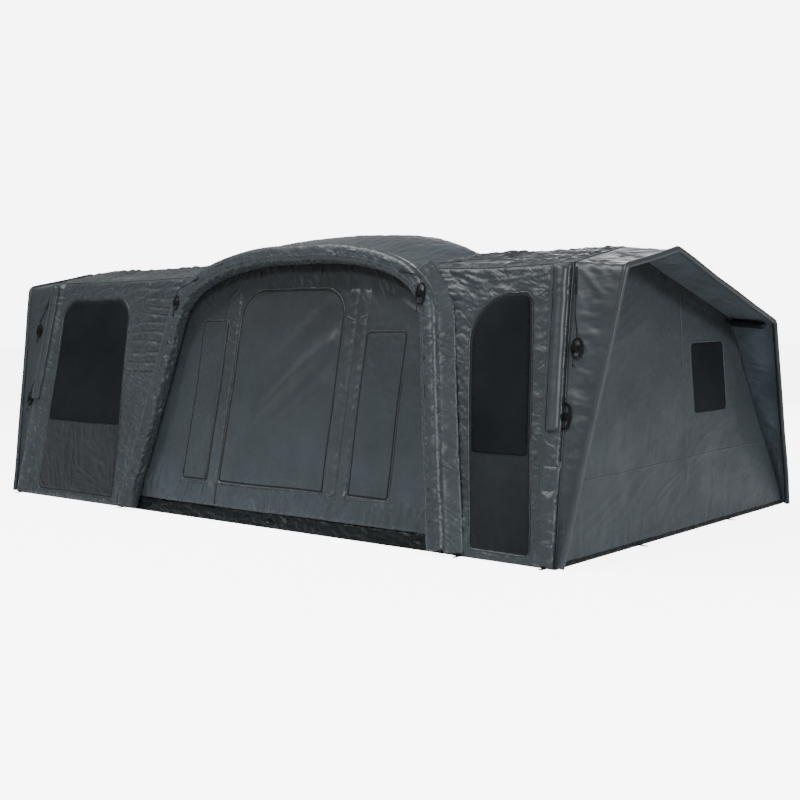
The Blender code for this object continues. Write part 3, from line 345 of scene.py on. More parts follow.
def edge_distance(points, rings):
    """Distance of each point to the nearest edge of the rings."""
    near = np.full(len(points), np.inf)
    for ring in rings:
        for a, b in zip(ring, np.roll(ring, -1, axis=0)):
            along = b - a
            t = np.clip((points - a) @ along / max(along @ along, 1e-12), 0, 1)
            near = np.minimum(near, np.linalg.norm(points - a - t[:, None] * along, axis=1))
    return near


def fill(outline, holes, step):
    """Points (n, 2), triangles and distance to the edge of an outline filled with a honeycomb."""
    rings = [divided(ring, step) for ring in (outline, *holes)]
    low, high = rings[0].min(axis=0), rings[0].max(axis=0)
    rows = np.arange(low[1] + step / 2, high[1], step * 0.866)
    columns = np.arange(low[0] + step / 2, high[0], step)
    x, y = np.meshgrid(columns, rows)
    x = x + (np.arange(len(rows)) % 2)[:, None] * step / 2
    points = np.column_stack([x.ravel(), y.ravel()])
    within = inside(points, rings[0])
    for hole in rings[1:]:
        within &= ~inside(points, hole)
    points = points[within]
    points = points[edge_distance(points, rings) > step * 0.45]
    border = np.vstack(rings)
    edges = []
    start = 0
    for ring in rings:
        count = len(ring)
        edges += [(start + k, start + (k + 1) % count) for k in range(count)]
        start += count
    everything = np.vstack([border, points])
    found = delaunay_2d_cdt(everything.tolist(), edges, [], 1, 1e-6)
    flat = np.array([tuple(p) for p in found[0]])
    faces = np.array(found[2])
    middle = flat[faces].mean(axis=1)
    good = inside(middle, rings[0])
    for hole in rings[1:]:
        good &= ~inside(middle, hole)
    faces = faces[good]
    used, faces = np.unique(faces, return_inverse=True)
    flat = flat[used]
    return flat, faces.reshape(-1, 3), edge_distance(flat, rings)

# %% [markdown]
# ## Making meshes
#
# All shapes end as points and faces. A grid of points gives four-sided faces, and its rows and
# columns give the UV map, in metres along and in shares across, for stitches and braid to follow.

# %% Mesh makers
CLOTH = 0.0014
FINE, COARSE, SLEEVE_SIDES = ((0.014, 0.030, 56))


def add_mesh(name, points, faces, uv=None):
    """A smooth mesh object at the origin; uv holds a pair for each corner of each face."""
    mesh = bpy.data.meshes.new(name)
    mesh.from_pydata(np.reshape(points, (-1, 3)).tolist(), [], [list(map(int, f)) for f in faces])
    if uv is not None:
        layer = mesh.uv_layers.new(name="UVMap")
        layer.data.foreach_set("uv", np.asarray(uv, np.float32).ravel())
    mesh.shade_smooth()
    piece = bpy.data.objects.new(name, mesh)
    bpy.context.scene.collection.objects.link(piece)
    return piece


def grid_mesh(name, grid, wrap=False, caps=False):
    """Mesh of a (rows, columns, 3) grid; wrap joins the last column to the first, caps close a tube.

    A face's outer side is the cross product of the step along a row and the step to the next row.
    """
    rows, columns = grid.shape[:2]
    i, j = np.indices((rows - 1, columns if wrap else columns - 1)).reshape(2, -1)
    down = np.stack([i, i, i + 1, i + 1], axis=1)
    over = np.stack([j, j + 1, j + 1, j], axis=1)
    faces = (down * columns + over % columns).tolist()
    run = run_along(grid.mean(axis=1))
    uv = np.stack([over / (columns if wrap else columns - 1), run[down]], axis=-1).reshape(-1, 2)
    if caps:
        faces += [list(range(columns))[::-1], list(range((rows - 1) * columns, rows * columns))]
        uv = np.vstack([uv, np.zeros((2 * columns, 2))])
    return add_mesh(name, grid, faces, uv)


def frames(path, up):
    """Unit directions (along, across, out) at every point of a path; up is what out leans towards."""
    along = unit(np.gradient(path, axis=0))
    across = unit(np.cross(np.broadcast_to(up, path.shape), along))
    return along, across, np.cross(along, across)


def sweep(path, up, profile):
    """Grid of a profile of (across, out) places carried along a path: path + a x across + b x out."""
    _, across, out = frames(path, up)
    profile = np.broadcast_to(profile, (len(path), *np.shape(profile)[-2:]))
    return path[:, None] + profile[..., :1] * across[:, None] + profile[..., 1:] * out[:, None]


def tube(name, path, up, profile):
    """Mesh of a profile carried along a path, closed all round."""
    return grid_mesh(name, sweep(path, up, profile), wrap=True, caps=True)


def thicken(piece, thickness=CLOTH):
    """Give a cloth surface its thickness, on its inner side."""
    wall = piece.modifiers.new("thickness", "SOLIDIFY")
    wall.thickness = thickness
    wall.offset = -1
    return piece


def finish(piece, material, body, slot, *nodes):
    """Material, body to ride on, a slot that is not used, and the frame's nodes that the piece replaces."""
    piece.data.materials.append(material)
    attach(piece, body)
    if nodes:
        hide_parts(*nodes)
    return piece


# %% [markdown]
# ## Cloth and the other finishes
#
# The skin is a coated plain weave: dark, half matt, with a soft sheen where light grazes it. Colour
# varies a little at random; painted shade darkens it up high and painted light makes it lighter near
# the ground. Creases too fine for the mesh are bump. A crease is where a smooth noise, drawn out along
# one direction, crosses its middle value, and two such directions cross each other, as in cloth that
# was packed small.

# %% Materials
SHINE = 0.32


def shader(name, colour, roughness, **sockets):
    """A new material with its Principled shader and a function that adds a node to its tree.

    In the node's links a socket takes another node's output, or a plain value.
    """
    material = bpy.data.materials.new(name)
    material.use_nodes = True
    tree = material.node_tree
    principled = tree.nodes["Principled BSDF"]
    principled.inputs["Base Color"].default_value = (*colour, 1)
    principled.inputs["Roughness"].default_value = roughness
    for socket, value in sockets.items():
        principled.inputs[socket.replace("_", " ")].default_value = value

    def add(kind, links=(), **values):
        node = tree.nodes.new(kind)
        for key, value in values.items():
            if key in node.inputs:
                node.inputs[key].default_value = value
            else:
                setattr(node, key, value)
        for socket, source in links:
            if isinstance(source, (int, float)):
                node.inputs[socket].default_value = source
            else:
                tree.links.new(source, node.inputs[socket])
        return node

    return material, principled, add


def feed(principled, socket, output):
    """Link an output to a socket of the shader."""
    principled.id_data.links.new(output, principled.inputs[socket])


def tinted(add, principled, source, dark, light, low=0.35, high=0.65):
    """Colour the shader between dark and light by a value that runs from low to high."""
    ramp = add("ShaderNodeValToRGB", [("Fac", source)])
    ramp.color_ramp.elements[0].position = low
    ramp.color_ramp.elements[1].position = high
    ramp.color_ramp.elements[0].color = (*dark, 1)
    ramp.color_ramp.elements[1].color = (*light, 1)
    feed(principled, "Base Color", ramp.outputs["Color"])
    return ramp


LINE_WIDTH, LINE_STRETCH, LINE_WAYS = 0.17, 3.5, ((0.0, 0.55, 0.6), (0.0, -0.55, 0.6))
# The first is the height at which the painted shade by height is darkest.
SHADE_TOP_HEIGHT, GRAIN_CELLS = 2.0, 420.0


def crease_lines(add, place, scale, turn):
    """Thin lines where a noise, drawn out along a turned direction, crosses its middle value."""
    drawn = add("ShaderNodeMapping", [("Vector", place)], vector_type="TEXTURE", Rotation=turn,
                Scale=(LINE_STRETCH, 1.0, 1.0))
    field = add("ShaderNodeTexNoise", [("Vector", drawn.outputs["Vector"])], Scale=scale, Detail=2.0,
                Roughness=0.55, Distortion=0.4)
    middle = add("ShaderNodeMath", [(0, field.outputs["Fac"]), (1, 0.5)], operation="SUBTRACT")
    folded = add("ShaderNodeMath", [(0, middle.outputs[0])], operation="ABSOLUTE")
    line = add("ShaderNodeMapRange", [("Value", folded.outputs[0]), ("From Max", LINE_WIDTH),
                                      ("To Min", 1.0), ("To Max", 0.0)], interpolation_type="SMOOTHSTEP")
    return line.outputs["Result"]


def woven(name, colour, roughness, crease, cells, weave=0.00008, sheen=0.06, spread=0.16, painted_height_shade=0.0,
          shine=SHINE):
    """Coated cloth: noise for colour, crossing lines for creases, and a fine grain for the weave.

    Painted light and shade by height make the colour lighter at the ground and darker towards the ridge.
    """
    material, principled, add = shader(name, colour, roughness)
    principled.inputs["Sheen Weight"].default_value = sheen
    principled.inputs["Sheen Roughness"].default_value = 0.45
    principled.inputs["Specular IOR Level"].default_value = shine
    place = add("ShaderNodeTexCoord").outputs["Object"]
    cloud = add("ShaderNodeTexNoise", [("Vector", place)], Scale=2.3, Detail=6.0, Roughness=0.6)
    dark = [v * (1 - spread) for v in colour]
    light = [v * (1 + spread) for v in colour]
    ramp = tinted(add, principled, cloud.outputs["Fac"], dark, light)
    # Painted light and shade by height: the colour is scaled lighter at the ground and darker towards the
    # top.
    if painted_height_shade:
        parts = add("ShaderNodeSeparateXYZ", [("Vector", place)])
        painted_light_by_height = add("ShaderNodeMapRange", [("Value", parts.outputs["Z"]), ("From Max", SHADE_TOP_HEIGHT),
                                           ("To Min", 1 + painted_height_shade), ("To Max", 1 - painted_height_shade)])
        height_shaded_colour = add("ShaderNodeVectorMath",
                     [(0, ramp.outputs["Color"]), ("Scale", painted_light_by_height.outputs["Result"])], operation="SCALE")
        feed(principled, "Base Color", height_shaded_colour.outputs["Vector"])
    height = None
    for scale, depth in zip(cells, crease):
        lines = [crease_lines(add, place, scale, way) for way in LINE_WAYS]
        both = add("ShaderNodeMath", [(0, lines[0]), (1, lines[1])], operation="ADD")
        bump = add("ShaderNodeBump", [("Height", both.outputs[0])], Strength=1.0, Distance=depth)
        if height:
            principled.id_data.links.new(height, bump.inputs["Normal"])
        height = bump.outputs["Normal"]
    grain = add("ShaderNodeTexNoise", [("Vector", place)], Scale=GRAIN_CELLS, Detail=2.0)
    last = add("ShaderNodeBump", [("Height", grain.outputs["Fac"]), ("Normal", height)], Strength=1.0,
               Distance=weave)
    feed(principled, "Normal", last.outputs["Normal"])
    return material


SLATE = (0.0148, 0.0204, 0.0246)
CREASED = ((0.0030, 0.0006), (1.2, 5.0))
# The height shares below paint shade up high and light near the ground, most strongly on the middle wall.
SKIN_CLOTH = woven("skin_cloth", SLATE, 0.48, *CREASED, painted_height_shade=0.36)
MIDDLE_CLOTH = woven("middle_cloth", SLATE, 0.48, *CREASED, painted_height_shade=0.56)
# The wing roofs and vent flaps: the slate cloth darkened to 0.76, painted shade against the light from
# above.
ROOF_SHADED_CLOTH = woven("roof_cloth_painted_shade", [0.76 * v for v in SLATE], 0.52, (0.0080, 0.0030), (2.4, 7.0))
# The dome: the slate cloth made 1.36 times lighter, painted light for the sky on its top.
DOME_LIT_CLOTH = woven("dome_cloth_painted_light", [1.36 * v for v in SLATE], 0.56, *CREASED)
# The valve covers: the slate cloth made 1.25 times lighter, a painted highlight.
FLAP_LIT_CLOTH = woven("flap_cloth_painted_highlight", [1.25 * v for v in SLATE], 0.45, (0.0030, 0.0010), (3.0, 9.0))
CRUMPLED = woven("crumpled_cloth", SLATE, 0.50, (0.0055, 0.0036), (2.8, 9.0), painted_height_shade=0.16)
SLEEVE_CLOTH = woven("sleeve_cloth", SLATE, 0.48, (0.0060, 0.0024), (3.5, 9.0))
HOOD_CLOTH = woven("hood_cloth", SLATE, 0.48, *CREASED, painted_height_shade=0.16)
# The hood's inner side: the slate cloth made 2.9 times lighter, painted light for the sky that lights the
# inside of the hood.
HOOD_INSIDE_LIT = woven("hood_inside_painted_light", [2.9 * v for v in SLATE], 0.60, *CREASED)
DOOR_CLOTH = woven("door_cloth", (0.0055, 0.0085, 0.0106), 0.50, (0.0040, 0.0008), (1.6, 6.0))
SHEET_CLOTH = woven("groundsheet_cloth", (0.0036, 0.0060, 0.0072), 0.45, (0.006, 0.003), (3.5, 9.0),
                    sheen=0.0, shine=0.14)
BEAM_FILM = woven("beam_film", (0.09, 0.095, 0.10), 0.42, (0.0015, 0.0008), (12.0, 30.0), spread=0.05)


def netting(name, colour, holes=0.0016):
    """Insect net: a lattice of round threads with dark holes, from cells on a regular grid."""
    material, principled, add = shader(name, colour, 0.75, Specular_IOR_Level=0.05)
    place = add("ShaderNodeTexCoord").outputs["Object"]
    cloud = add("ShaderNodeTexNoise", [("Vector", place)], Scale=1.7, Detail=4.0)
    tinted(add, principled, cloud.outputs["Fac"], [v * 0.8 for v in colour], [v * 1.25 for v in colour])
    mesh = add("ShaderNodeTexVoronoi", [("Vector", place)], Scale=1 / holes, Randomness=0.0)
    bump = add("ShaderNodeBump", [("Height", mesh.outputs["Distance"])], Strength=0.6, Distance=0.0004)
    feed(principled, "Normal", bump.outputs["Normal"])
    return material


NET = netting("net", (0.0055, 0.0070, 0.0080))
PANEL_NET = netting("privacy_net", (0.0125, 0.0148, 0.0170))


def by_uv(name, colour, light, roughness, repeats, cut, depth, slant=0.0, **sockets):
    """A finish that repeats along a strip or cord: bands of v, slanted by u, bumped and tinted."""
    material, principled, add = shader(name, colour, roughness, **sockets)
    uv = add("ShaderNodeUVMap").outputs["UV"]
    parts = add("ShaderNodeSeparateXYZ", [("Vector", uv)])
    run = add("ShaderNodeMath", [(0, parts.outputs["Y"]), (1, repeats)], operation="MULTIPLY")
    lean = add("ShaderNodeMath", [(0, parts.outputs["X"]), (1, slant)], operation="MULTIPLY")
    both = add("ShaderNodeMath", [(0, run.outputs[0]), (1, lean.outputs[0])], operation="ADD")
    wave = add("ShaderNodeMath", [(0, both.outputs[0]), (1, 0.5)], operation="PINGPONG")
    tinted(add, principled, wave.outputs[0], colour, light, cut, min(1.0, cut + 0.06))
    bump = add("ShaderNodeBump", [("Height", wave.outputs[0])], Strength=0.8, Distance=depth)
    feed(principled, "Normal", bump.outputs["Normal"])
    return material


ZIP_COIL = by_uv("zip_coil", (0.0035, 0.0045, 0.0055), (0.010, 0.012, 0.014), 0.38, 260.0, 0.30, 0.0006)
WEBBING = by_uv("webbing", (0.0040, 0.0045, 0.0050), (0.0085, 0.0090, 0.0100), 0.75, 320.0, 0.25, 0.0005,
                Specular_IOR_Level=0.2)
BRAID = by_uv("braid", (0.0020, 0.0020, 0.0025), (0.055, 0.055, 0.055), 0.80, 62.0, 0.47, 0.0008, slant=2.0,
              Specular_IOR_Level=0.15)
SEAM = by_uv("seam", (0.0075, 0.0115, 0.0150), (0.013, 0.019, 0.025), 0.60, 125.0, 0.33, 0.0004)
EDGING = by_uv("edging", (0.0028, 0.0042, 0.0058), (0.0065, 0.0092, 0.0120), 0.75, 125.0, 0.33, 0.0004,
               Specular_IOR_Level=0.2)
PLASTIC, plastic_shader, add_plastic = shader("black_plastic", (0.012, 0.012, 0.013), 0.38)
plastic_place = add_plastic("ShaderNodeTexCoord").outputs["Object"]
plastic_grain = add_plastic("ShaderNodeTexNoise", [("Vector", plastic_place)], Scale=700.0)
plastic_bump = add_plastic("ShaderNodeBump", [("Height", plastic_grain.outputs["Fac"])], Strength=0.5,
                           Distance=0.0001)
feed(plastic_shader, "Normal", plastic_bump.outputs["Normal"])

# %% [markdown]
# ## Camera and light
#
# The camera stands off the right front corner at a grown person's eye height and looks slightly
# down. Three soft lights shape the cloth: a key in front and above, one from the right that draws the
# folds of the end wall, and one high up for the roofs. A weak fourth one lights the back.

# %% Camera, floor and lights
CAMERA_PLACE = (7.758, -8.957, 1.72)
HEADING, PITCH, ROLL = math.radians(39.97), math.radians(3.788), math.radians(-0.473)
FOCUS = 1239.26 / 800
SENSOR = 36.0

camera = bpy.data.objects.new("camera", bpy.data.cameras.new("camera"))
bpy.context.scene.collection.objects.link(camera)
camera.data.sensor_width = SENSOR
camera.data.lens = FOCUS * SENSOR
ahead = np.array([-math.sin(HEADING) * math.cos(PITCH), math.cos(HEADING) * math.cos(PITCH),
                  -math.sin(PITCH)])
level = np.array([math.cos(HEADING), math.sin(HEADING), 0.0])
rise = np.cross(level, ahead)
right = level * math.cos(ROLL) + rise * math.sin(ROLL)
upward = rise * math.cos(ROLL) - level * math.sin(ROLL)
turn = Matrix(np.column_stack([right, upward, -ahead]).tolist()).to_4x4()
camera.matrix_world = Matrix.Translation(CAMERA_PLACE) @ turn
bpy.context.scene.camera = camera

BACKDROP, SKY_LIGHT, FLOOR_GLOW, FLOOR_HALF = 7.0, 0.36, 5.8, 60
floor_corners = [(a * FLOOR_HALF, b * FLOOR_HALF, 0) for a, b in ((-1, -1), (1, -1), (1, 1), (-1, 1))]
floor = add_mesh("floor", floor_corners, [(0, 1, 2, 3)])
floor.location.z = -0.001
floor_finish, floor_shader, add_floor = shader("pale_floor", (0.86, 0.86, 0.86), 0.9)
floor_shader.inputs["Emission Color"].default_value = (1, 1, 1, 1)
seen = add_floor("ShaderNodeLightPath")
glow = add_floor("ShaderNodeMath", [(0, seen.outputs["Is Camera Ray"]), (1, FLOOR_GLOW)],
                 operation="MULTIPLY")
feed(floor_shader, "Emission Strength", glow.outputs[0])
floor.data.materials.append(floor_finish)


def soft_light(name, place, target, size, power):
    """A square area light at a place, turned to a target."""
    lamp = bpy.data.objects.new(name, bpy.data.lights.new(name, "AREA"))
    bpy.context.scene.collection.objects.link(lamp)
    lamp.data.size = size
    lamp.data.energy = power
    away = Matrix.Translation(place).to_translation() - Matrix.Translation(target).to_translation()
    lamp.matrix_world = Matrix.Translation(place) @ away.to_track_quat("Z", "Y").to_matrix().to_4x4()


soft_light("key_light", (1.0, -10.0, 9.5), (0.0, -1.0, 1.0), 1.6, 1100)
soft_light("side_light", (14.0, -3.0, 6.0), (3.0, 0.0, 1.0), 2.0, 2150)
soft_light("top_light", (-3.5, -4.5, 11.0), (0.0, -1.5, 1.0), 1.2, 1300)
soft_light("back_light", (-4.0, 12.0, 6.0), (0.0, 0.0, 1.0), 5.0, 900)
world = bpy.data.worlds.new("studio")
world.use_nodes = True
sky = world.node_tree.nodes["Background"]
sky.inputs["Color"].default_value = (1, 1, 1, 1)
rays = world.node_tree.nodes.new("ShaderNodeLightPath")
levels = world.node_tree.nodes.new("ShaderNodeMapRange")
levels.inputs["To Min"].default_value = SKY_LIGHT
levels.inputs["To Max"].default_value = BACKDROP
world.node_tree.links.new(rays.outputs["Is Camera Ray"], levels.inputs["Value"])
world.node_tree.links.new(levels.outputs["Result"], sky.inputs["Strength"])
bpy.context.scene.world = world

# %% [markdown]
# ## A panel of cloth
#
# A panel is its flat outline, what stands out of it, and where it goes. The cloth is cut a little
# larger than the flat, because the creases take some.

# %% Panel and seam makers
SEAM_WIDTH = 0.013
LINE_STEP = 0.02


def panel(name, face, outline, relief, nodes, holes=(), step=FINE, body="tent", slot="skin_cloth",
          material=SKIN_CLOTH):
    """Cloth in an outline of a plane, lifted off it by relief(x, s, distance to the edge)."""
    flat, faces, edge = fill(outline, holes, step)
    points = settle(on(face, *flat.T, relief(*flat.T, edge)))
    piece = thicken(add_mesh(name, points, faces))
    finish(piece, material, body, slot, *nodes)
    flat_points = on(face, *flat.T)
    return piece


def ribbon(name, face, line, width, lift, relief=None, rings=None, body="tent", material=SEAM,
           slot="skin_cloth", closed=False, wave=0.0):
    """A strip along a line (x, s) of a plane, crowned across as half an ellipse of height lift.

    It lies on the relief of the cloth below it, and wave lets its edge wander sideways.
    """
    line = divided(line, LINE_STEP, closed)
    if closed:
        line = np.vstack([line, line[:1]])
    base = relief(*line.T, edge_distance(line, rings)) if relief else np.zeros(len(line))
    if wave:
        drift = np.column_stack([line, np.zeros(len(line))])
        line = line + wave * np.column_stack([noise(drift, 0.13, 71), noise(drift, 0.13, 72)])
    path = settle(on(face, *line.T, base))
    angle = np.linspace(0, math.pi, 7)
    profile = np.column_stack([np.cos(angle) * width / 2, np.sin(angle) * lift])
    profile = np.vstack([profile, [[-width / 2, -lift / 2], [width / 2, -lift / 2]]])
    return finish(tube(name, path, face[3], profile), material, body, slot)


def zip_line(name, line, width, lift, relief, rings, wave, closed=False):
    """A zip's coil along a line of the front plane."""
    ribbon(name, FRONT, line, width, lift, relief, rings, material=ZIP_COIL, slot="black_plastic",
           closed=closed, wave=wave)


# %% [markdown]
# ## Front of the middle room
#
# One panel fills the arch. It has a door and two windows with covers, and strips of cloth run down
# beside their zips. The strips are cut a little long, so they crumple, while the panel itself is
# drawn smooth by the arch. Below the sill the cloth hangs in upright folds.

# %% Outlines of the doors and covers
SKIN = 0.0063
DOOR_LEFT, DOOR_RIGHT, DOOR_SILL, DOOR_HEAD, DOOR_CURVE = -0.25, 0.97, 0.33, 1.97, 0.25
COVER_LEFT = (-0.73, -0.40, 0.33, 1.72)
COVER_RIGHT = (1.23, 1.65, 0.33, 1.62)
CORNER, COVER_CURVE = 0.03, 0.05


def upright(left, right, sill, head, radii):
    """Rounded outline between two upright edges, on the front plane."""
    corners = up_front([(left, sill), (right, sill), (right, head), (left, head)])
    return rounded(corners, radii)


def leaning(low_left, low_right, high_right, high_left, radii):
    """Rounded outline of a door whose edges lean."""
    return rounded(up_front([low_left, low_right, high_right, high_left]), radii)


DOOR = upright(DOOR_LEFT, DOOR_RIGHT, DOOR_SILL, DOOR_HEAD, (CORNER, CORNER, DOOR_CURVE, DOOR_CURVE))
COVER_RADII = (CORNER, CORNER, COVER_CURVE, COVER_CURVE)
WINDOWS = {"left": upright(*COVER_LEFT, COVER_RADII), "right": upright(*COVER_RIGHT, COVER_RADII)}


def at_height(low, high, height):
    """Place (x, height) on the line between two such places."""
    share = (height - low[1]) / (high[1] - low[1])
    return low[0] + (high[0] - low[0]) * share, height


def between_edges(left, right, sill, head, border=0.0):
    """Corners of a door between two leaning edges, anticlockwise."""
    low_left, low_right = at_height(*left, sill), at_height(*right, sill)
    high_right, high_left = at_height(*right, head), at_height(*left, head)
    return ((low_left[0] + border, sill), (low_right[0] - border, sill),
            (high_right[0] - border, head), (high_left[0] + border, head))


def wing_door(edges, head, radii, seed):
    """Outlines of a wing's door and of the pane in it, and the seed of its creases."""
    return (leaning(*between_edges(*edges, WING_SILL, head), radii),
            leaning(*between_edges(*edges, PANE_SILL, head - PANE_BORDER, PANE_BORDER), radii), seed)


WING_SILL, PANE_SILL, PANE_BORDER = 0.07, 0.74, 0.016
LEFT_HEAD, RIGHT_HEAD = 1.92, 1.89
LEFT_EDGES = (((-2.85, 0), (-2.87, LEFT_HEAD)), ((-1.68, 0), (-1.83, LEFT_HEAD)))
RIGHT_EDGES = (((2.49, 0), (2.21, RIGHT_HEAD)), ((2.99, 0), (2.76, RIGHT_HEAD)))
WING_DOORS = {"left": wing_door(LEFT_EDGES, LEFT_HEAD, (CORNER, CORNER, 0.20, 0.20), 161),
              "right": wing_door(RIGHT_EDGES, RIGHT_HEAD, (CORNER, CORNER, 2 * CORNER, 0.33), 166)}

# %% Middle wall
RIM = 0.12
STRIPS = ((-0.42, -0.28), (1.00, 1.095), (1.135, 1.21))
MIDDLE_FOLDS = (((1.30, 0.42), (1.05, 0.16), 0.02, 0.016), ((1.45, 1.95), (1.90, 1.70), 0.03, 0.010))


def cloth(x, s, edge, seed, broad=0.008, crumple=0.0016, near=0.0045, reach=0.07, size=0.085):
    """Relief of a taut panel: broad waves, small creases, and more creases near its seams."""
    pin = step_up(edge, 0, 0.035)
    waves = broad * noise(flat3(x, s), 0.55, seed) + broad * 0.4 * noise(flat3(x, s), 0.22, seed + 1)
    rough = crumple + near * np.exp(-edge / reach)
    return pin * (waves * step_up(edge, 0, 0.25) + rough * creases(flat3(x, s), size, seed + 2))


def middle_relief(x, s, edge):
    """The middle wall: taut cloth, crumpled strips beside the zips, upright folds below the sill."""
    height = s / FRONT_SLOPE
    out = cloth(x, s, edge, 21, broad=0.009, crumple=0.0010, near=0.0022)
    pin = step_up(edge, 0, 0.02)
    for low, high in STRIPS:
        strip = band(x, low, high, 0.008) * band(height, 0.30, 1.95, 0.02)
        out += pin * strip * (0.008 + 0.0095 * wrinkles(x, s, 0.080, 31, 0.0, 0.75, 2.8))
    below = 1 - step_up(height, 0.26, 0.46)
    out += pin * below * 0.0200 * wrinkles(x, s, 0.110, 41, math.pi / 2 - 0.12, 0.16, 4.0)
    upper = step_up(height, 1.75, 2.0)
    out += pin * upper * 0.0100 * wrinkles(x, s, 0.120, 43, math.pi / 2, 0.5, 3.0)
    for place in MIDDLE_FOLDS:
        out += pin * fold(x, s, *place)
    return out


MIDDLE = arch(SKIN) * (1, FRONT_SLOPE)
MIDDLE[0], MIDDLE[-1] = ([*at_height(MIDDLE[a], MIDDLE[b], RIM * FRONT_SLOPE)]
                         for a, b in ((0, 1), (-1, -2)))
MIDDLE = MIDDLE[::-1]
MIDDLE_RINGS = (MIDDLE, DOOR, *WINDOWS.values())
panel("middle_wall", FRONT, MIDDLE, middle_relief, ["centre_front_wall"], MIDDLE_RINGS[1:],
      material=MIDDLE_CLOTH)


# %% Front door and its neighbours
DOOR_FOLDS = (((1.04, 1.72), (0.10, 0.92), 0.075, 0.056), ((1.00, 1.36), (0.10, 0.62), 0.080, 0.026),
              ((0.90, 2.00), (0.10, 1.25), 0.070, 0.018))


def door_relief(x, s, edge):
    """The front door: long folds from its upper right to its lower left, and creases at its foot."""
    out = cloth(x, s, edge, 51, broad=0.007, crumple=0.0008, near=0.002, reach=0.05)
    pin = step_up(edge, 0, 0.12)
    for place in DOOR_FOLDS:
        out += pin * fold(x, s, *place)
    height = s / FRONT_SLOPE
    low = 1 - step_up(height, 0.36, 0.62)
    return out + step_up(edge, 0, 0.03) * low * 0.008 * wrinkles(x, s, 0.090, 53, 1.1, 0.35, 3.0)


def cover_relief(x, s, edge):
    """A window's cover: nearly flat, with creases along its zip."""
    return cloth(x, s, edge, 61, broad=0.005, crumple=0.0012, near=0.0035)


panel("front_door_cloth", FRONT, DOOR, door_relief, ["front_door"], body="front_door",
      material=MIDDLE_CLOTH)
for word, ring in WINDOWS.items():
    panel(f"{word}_cover_cloth", FRONT, ring, cover_relief, [f"front_{word}_cover"],
          body=f"front_{word}_cover", material=MIDDLE_CLOTH)


def net_relief(depth):
    """A net: slack by a few millimetres, and set back behind its cover by a depth."""
    return lambda x, s, edge: 0.003 * noise(flat3(x, s), 0.3, 65) * step_up(edge, 0, 0.05) - depth


for word, ring in WINDOWS.items():
    panel(f"{word}_window_net", FRONT, ring, net_relief(0.012), [f"front_{word}_window"], slot="net",
          material=NET, step=COARSE)

# %% [markdown]
# ## Wings
#
# Each wing's wall is little more than a frame round its door: a crumpled sleeve over the beam in the
# corner, a head above the door, and a gathered piece between the door and the arch. The gathers
# there run across, because the arch pulls the wall down along its leg.

# %% Wing walls
CORNER_SLEEVE, CORNER_ROUND, EAVE_GAP = 0.17, 0.036, 0.001


def wing_outline(side, eave, share):
    """Outline of a wing's wall from the end of the body to the arch, as (x, height)."""
    line = arch(-SEAT, share)
    leg = line[((line[:, 0] - ARCH_X) * side > 0)]
    leg = leg if side < 0 else leg[::-1]
    above = np.argmax(leg[:, 1] > eave)
    leg = np.vstack([leg[:above], at_height(leg[above - 1], leg[above], eave)])
    outer = [(side * half_at(eave), eave), (side * half_at(0), 0)]
    ring = np.vstack([leg, outer])
    return ring if side < 0 else ring[::-1]


def corner_roll(x, height):
    """The round of the corner beam under the wall, as half an ellipse beside the end of the body."""
    inward = HALF_LENGTH - END_LEAN * height - np.abs(x)
    t = np.clip((inward - CORNER_SLEEVE / 2) / (CORNER_SLEEVE / 2), -1, 1)
    return CORNER_ROUND * np.sqrt(1 - t * t)


GATHER_PITCH = 0.088
GATHERS = {-1: (0.034, 0.50, 0.74, 1.15), 1: (0.010, 0.12, 0.24, 1.45)}


def wing_relief(side, seed):
    """Relief of a wing's wall: corner sleeve, gathers beside the arch, creases everywhere.

    The gathers, which have a depth, fade out between two distances from the arch and end at a
    height. They are the sine of the height over their pitch, without its sign, to the power 0.7.
    """
    deep, near_end, far_end, gather_foot = GATHERS[side]

    def relief(x, s, edge):
        height = s / FRONT_SLOPE
        pin = step_up(edge, 0, 0.03)
        roll = corner_roll(x, height)
        on_roll = step_up(roll, 0.0, 0.012)
        smooth = on_roll * band(height, 0.85, 2.02, 0.05)
        out = cloth(x, s, edge, seed, broad=0.008, crumple=0.0007, near=0.0014, size=0.090)
        out += step_up(edge, 0, 0.012) * roll
        rough = pin * (1 - 0.85 * smooth)
        out += rough * 0.0045 * wrinkles(x, s, 0.100, seed + 10, 0.35 * side, 0.35, 6.0)
        out += rough * 0.0040 * wrinkles(x, s, 0.055, seed + 30, 0.4 * side, 0.50, 4.5)
        head = band(height, 1.84, 2.12, 0.04)
        out += pin * head * 0.014 * wrinkles(x, s, 0.085, seed + 50, -0.12 * side, 0.10, 11.0)
        beside = 1 - step_up(np.abs(x - ARCH_X) - arch_half(height), near_end, far_end)
        gathers = beside * band(height, gather_foot, 2.06, 0.16)
        depth = deep * (0.65 + 0.6 * noise(flat3(x, s), 0.30, seed + 6))
        phase = s / GATHER_PITCH + 0.55 * noise(flat3(x, s, 0.0, 3.0), 0.20, seed + 5) + 0.35 * x
        out += pin * gathers * depth * np.abs(np.sin(math.pi * phase)) ** 0.7
        lower = beside * band(height, 0.2, 1.25, 0.15)
        out -= pin * lower * 0.010 * wrinkles(x, s, 0.085, seed + 6, 0.50 * side, 0.25, 4.0)
        low = 1 - step_up(height, 0.1, 0.6)
        out += pin * low * 0.010 * wrinkles(x, s, 0.080, seed + 8, 0.9 * side, 0.30, 3.0)
        return out
    return relief


VALVE_X, VALVE_HEIGHT, VALVE_HOLE, VALVE_FLAT = 3.092103, 0.60, 0.0225, (0.035, 0.12)


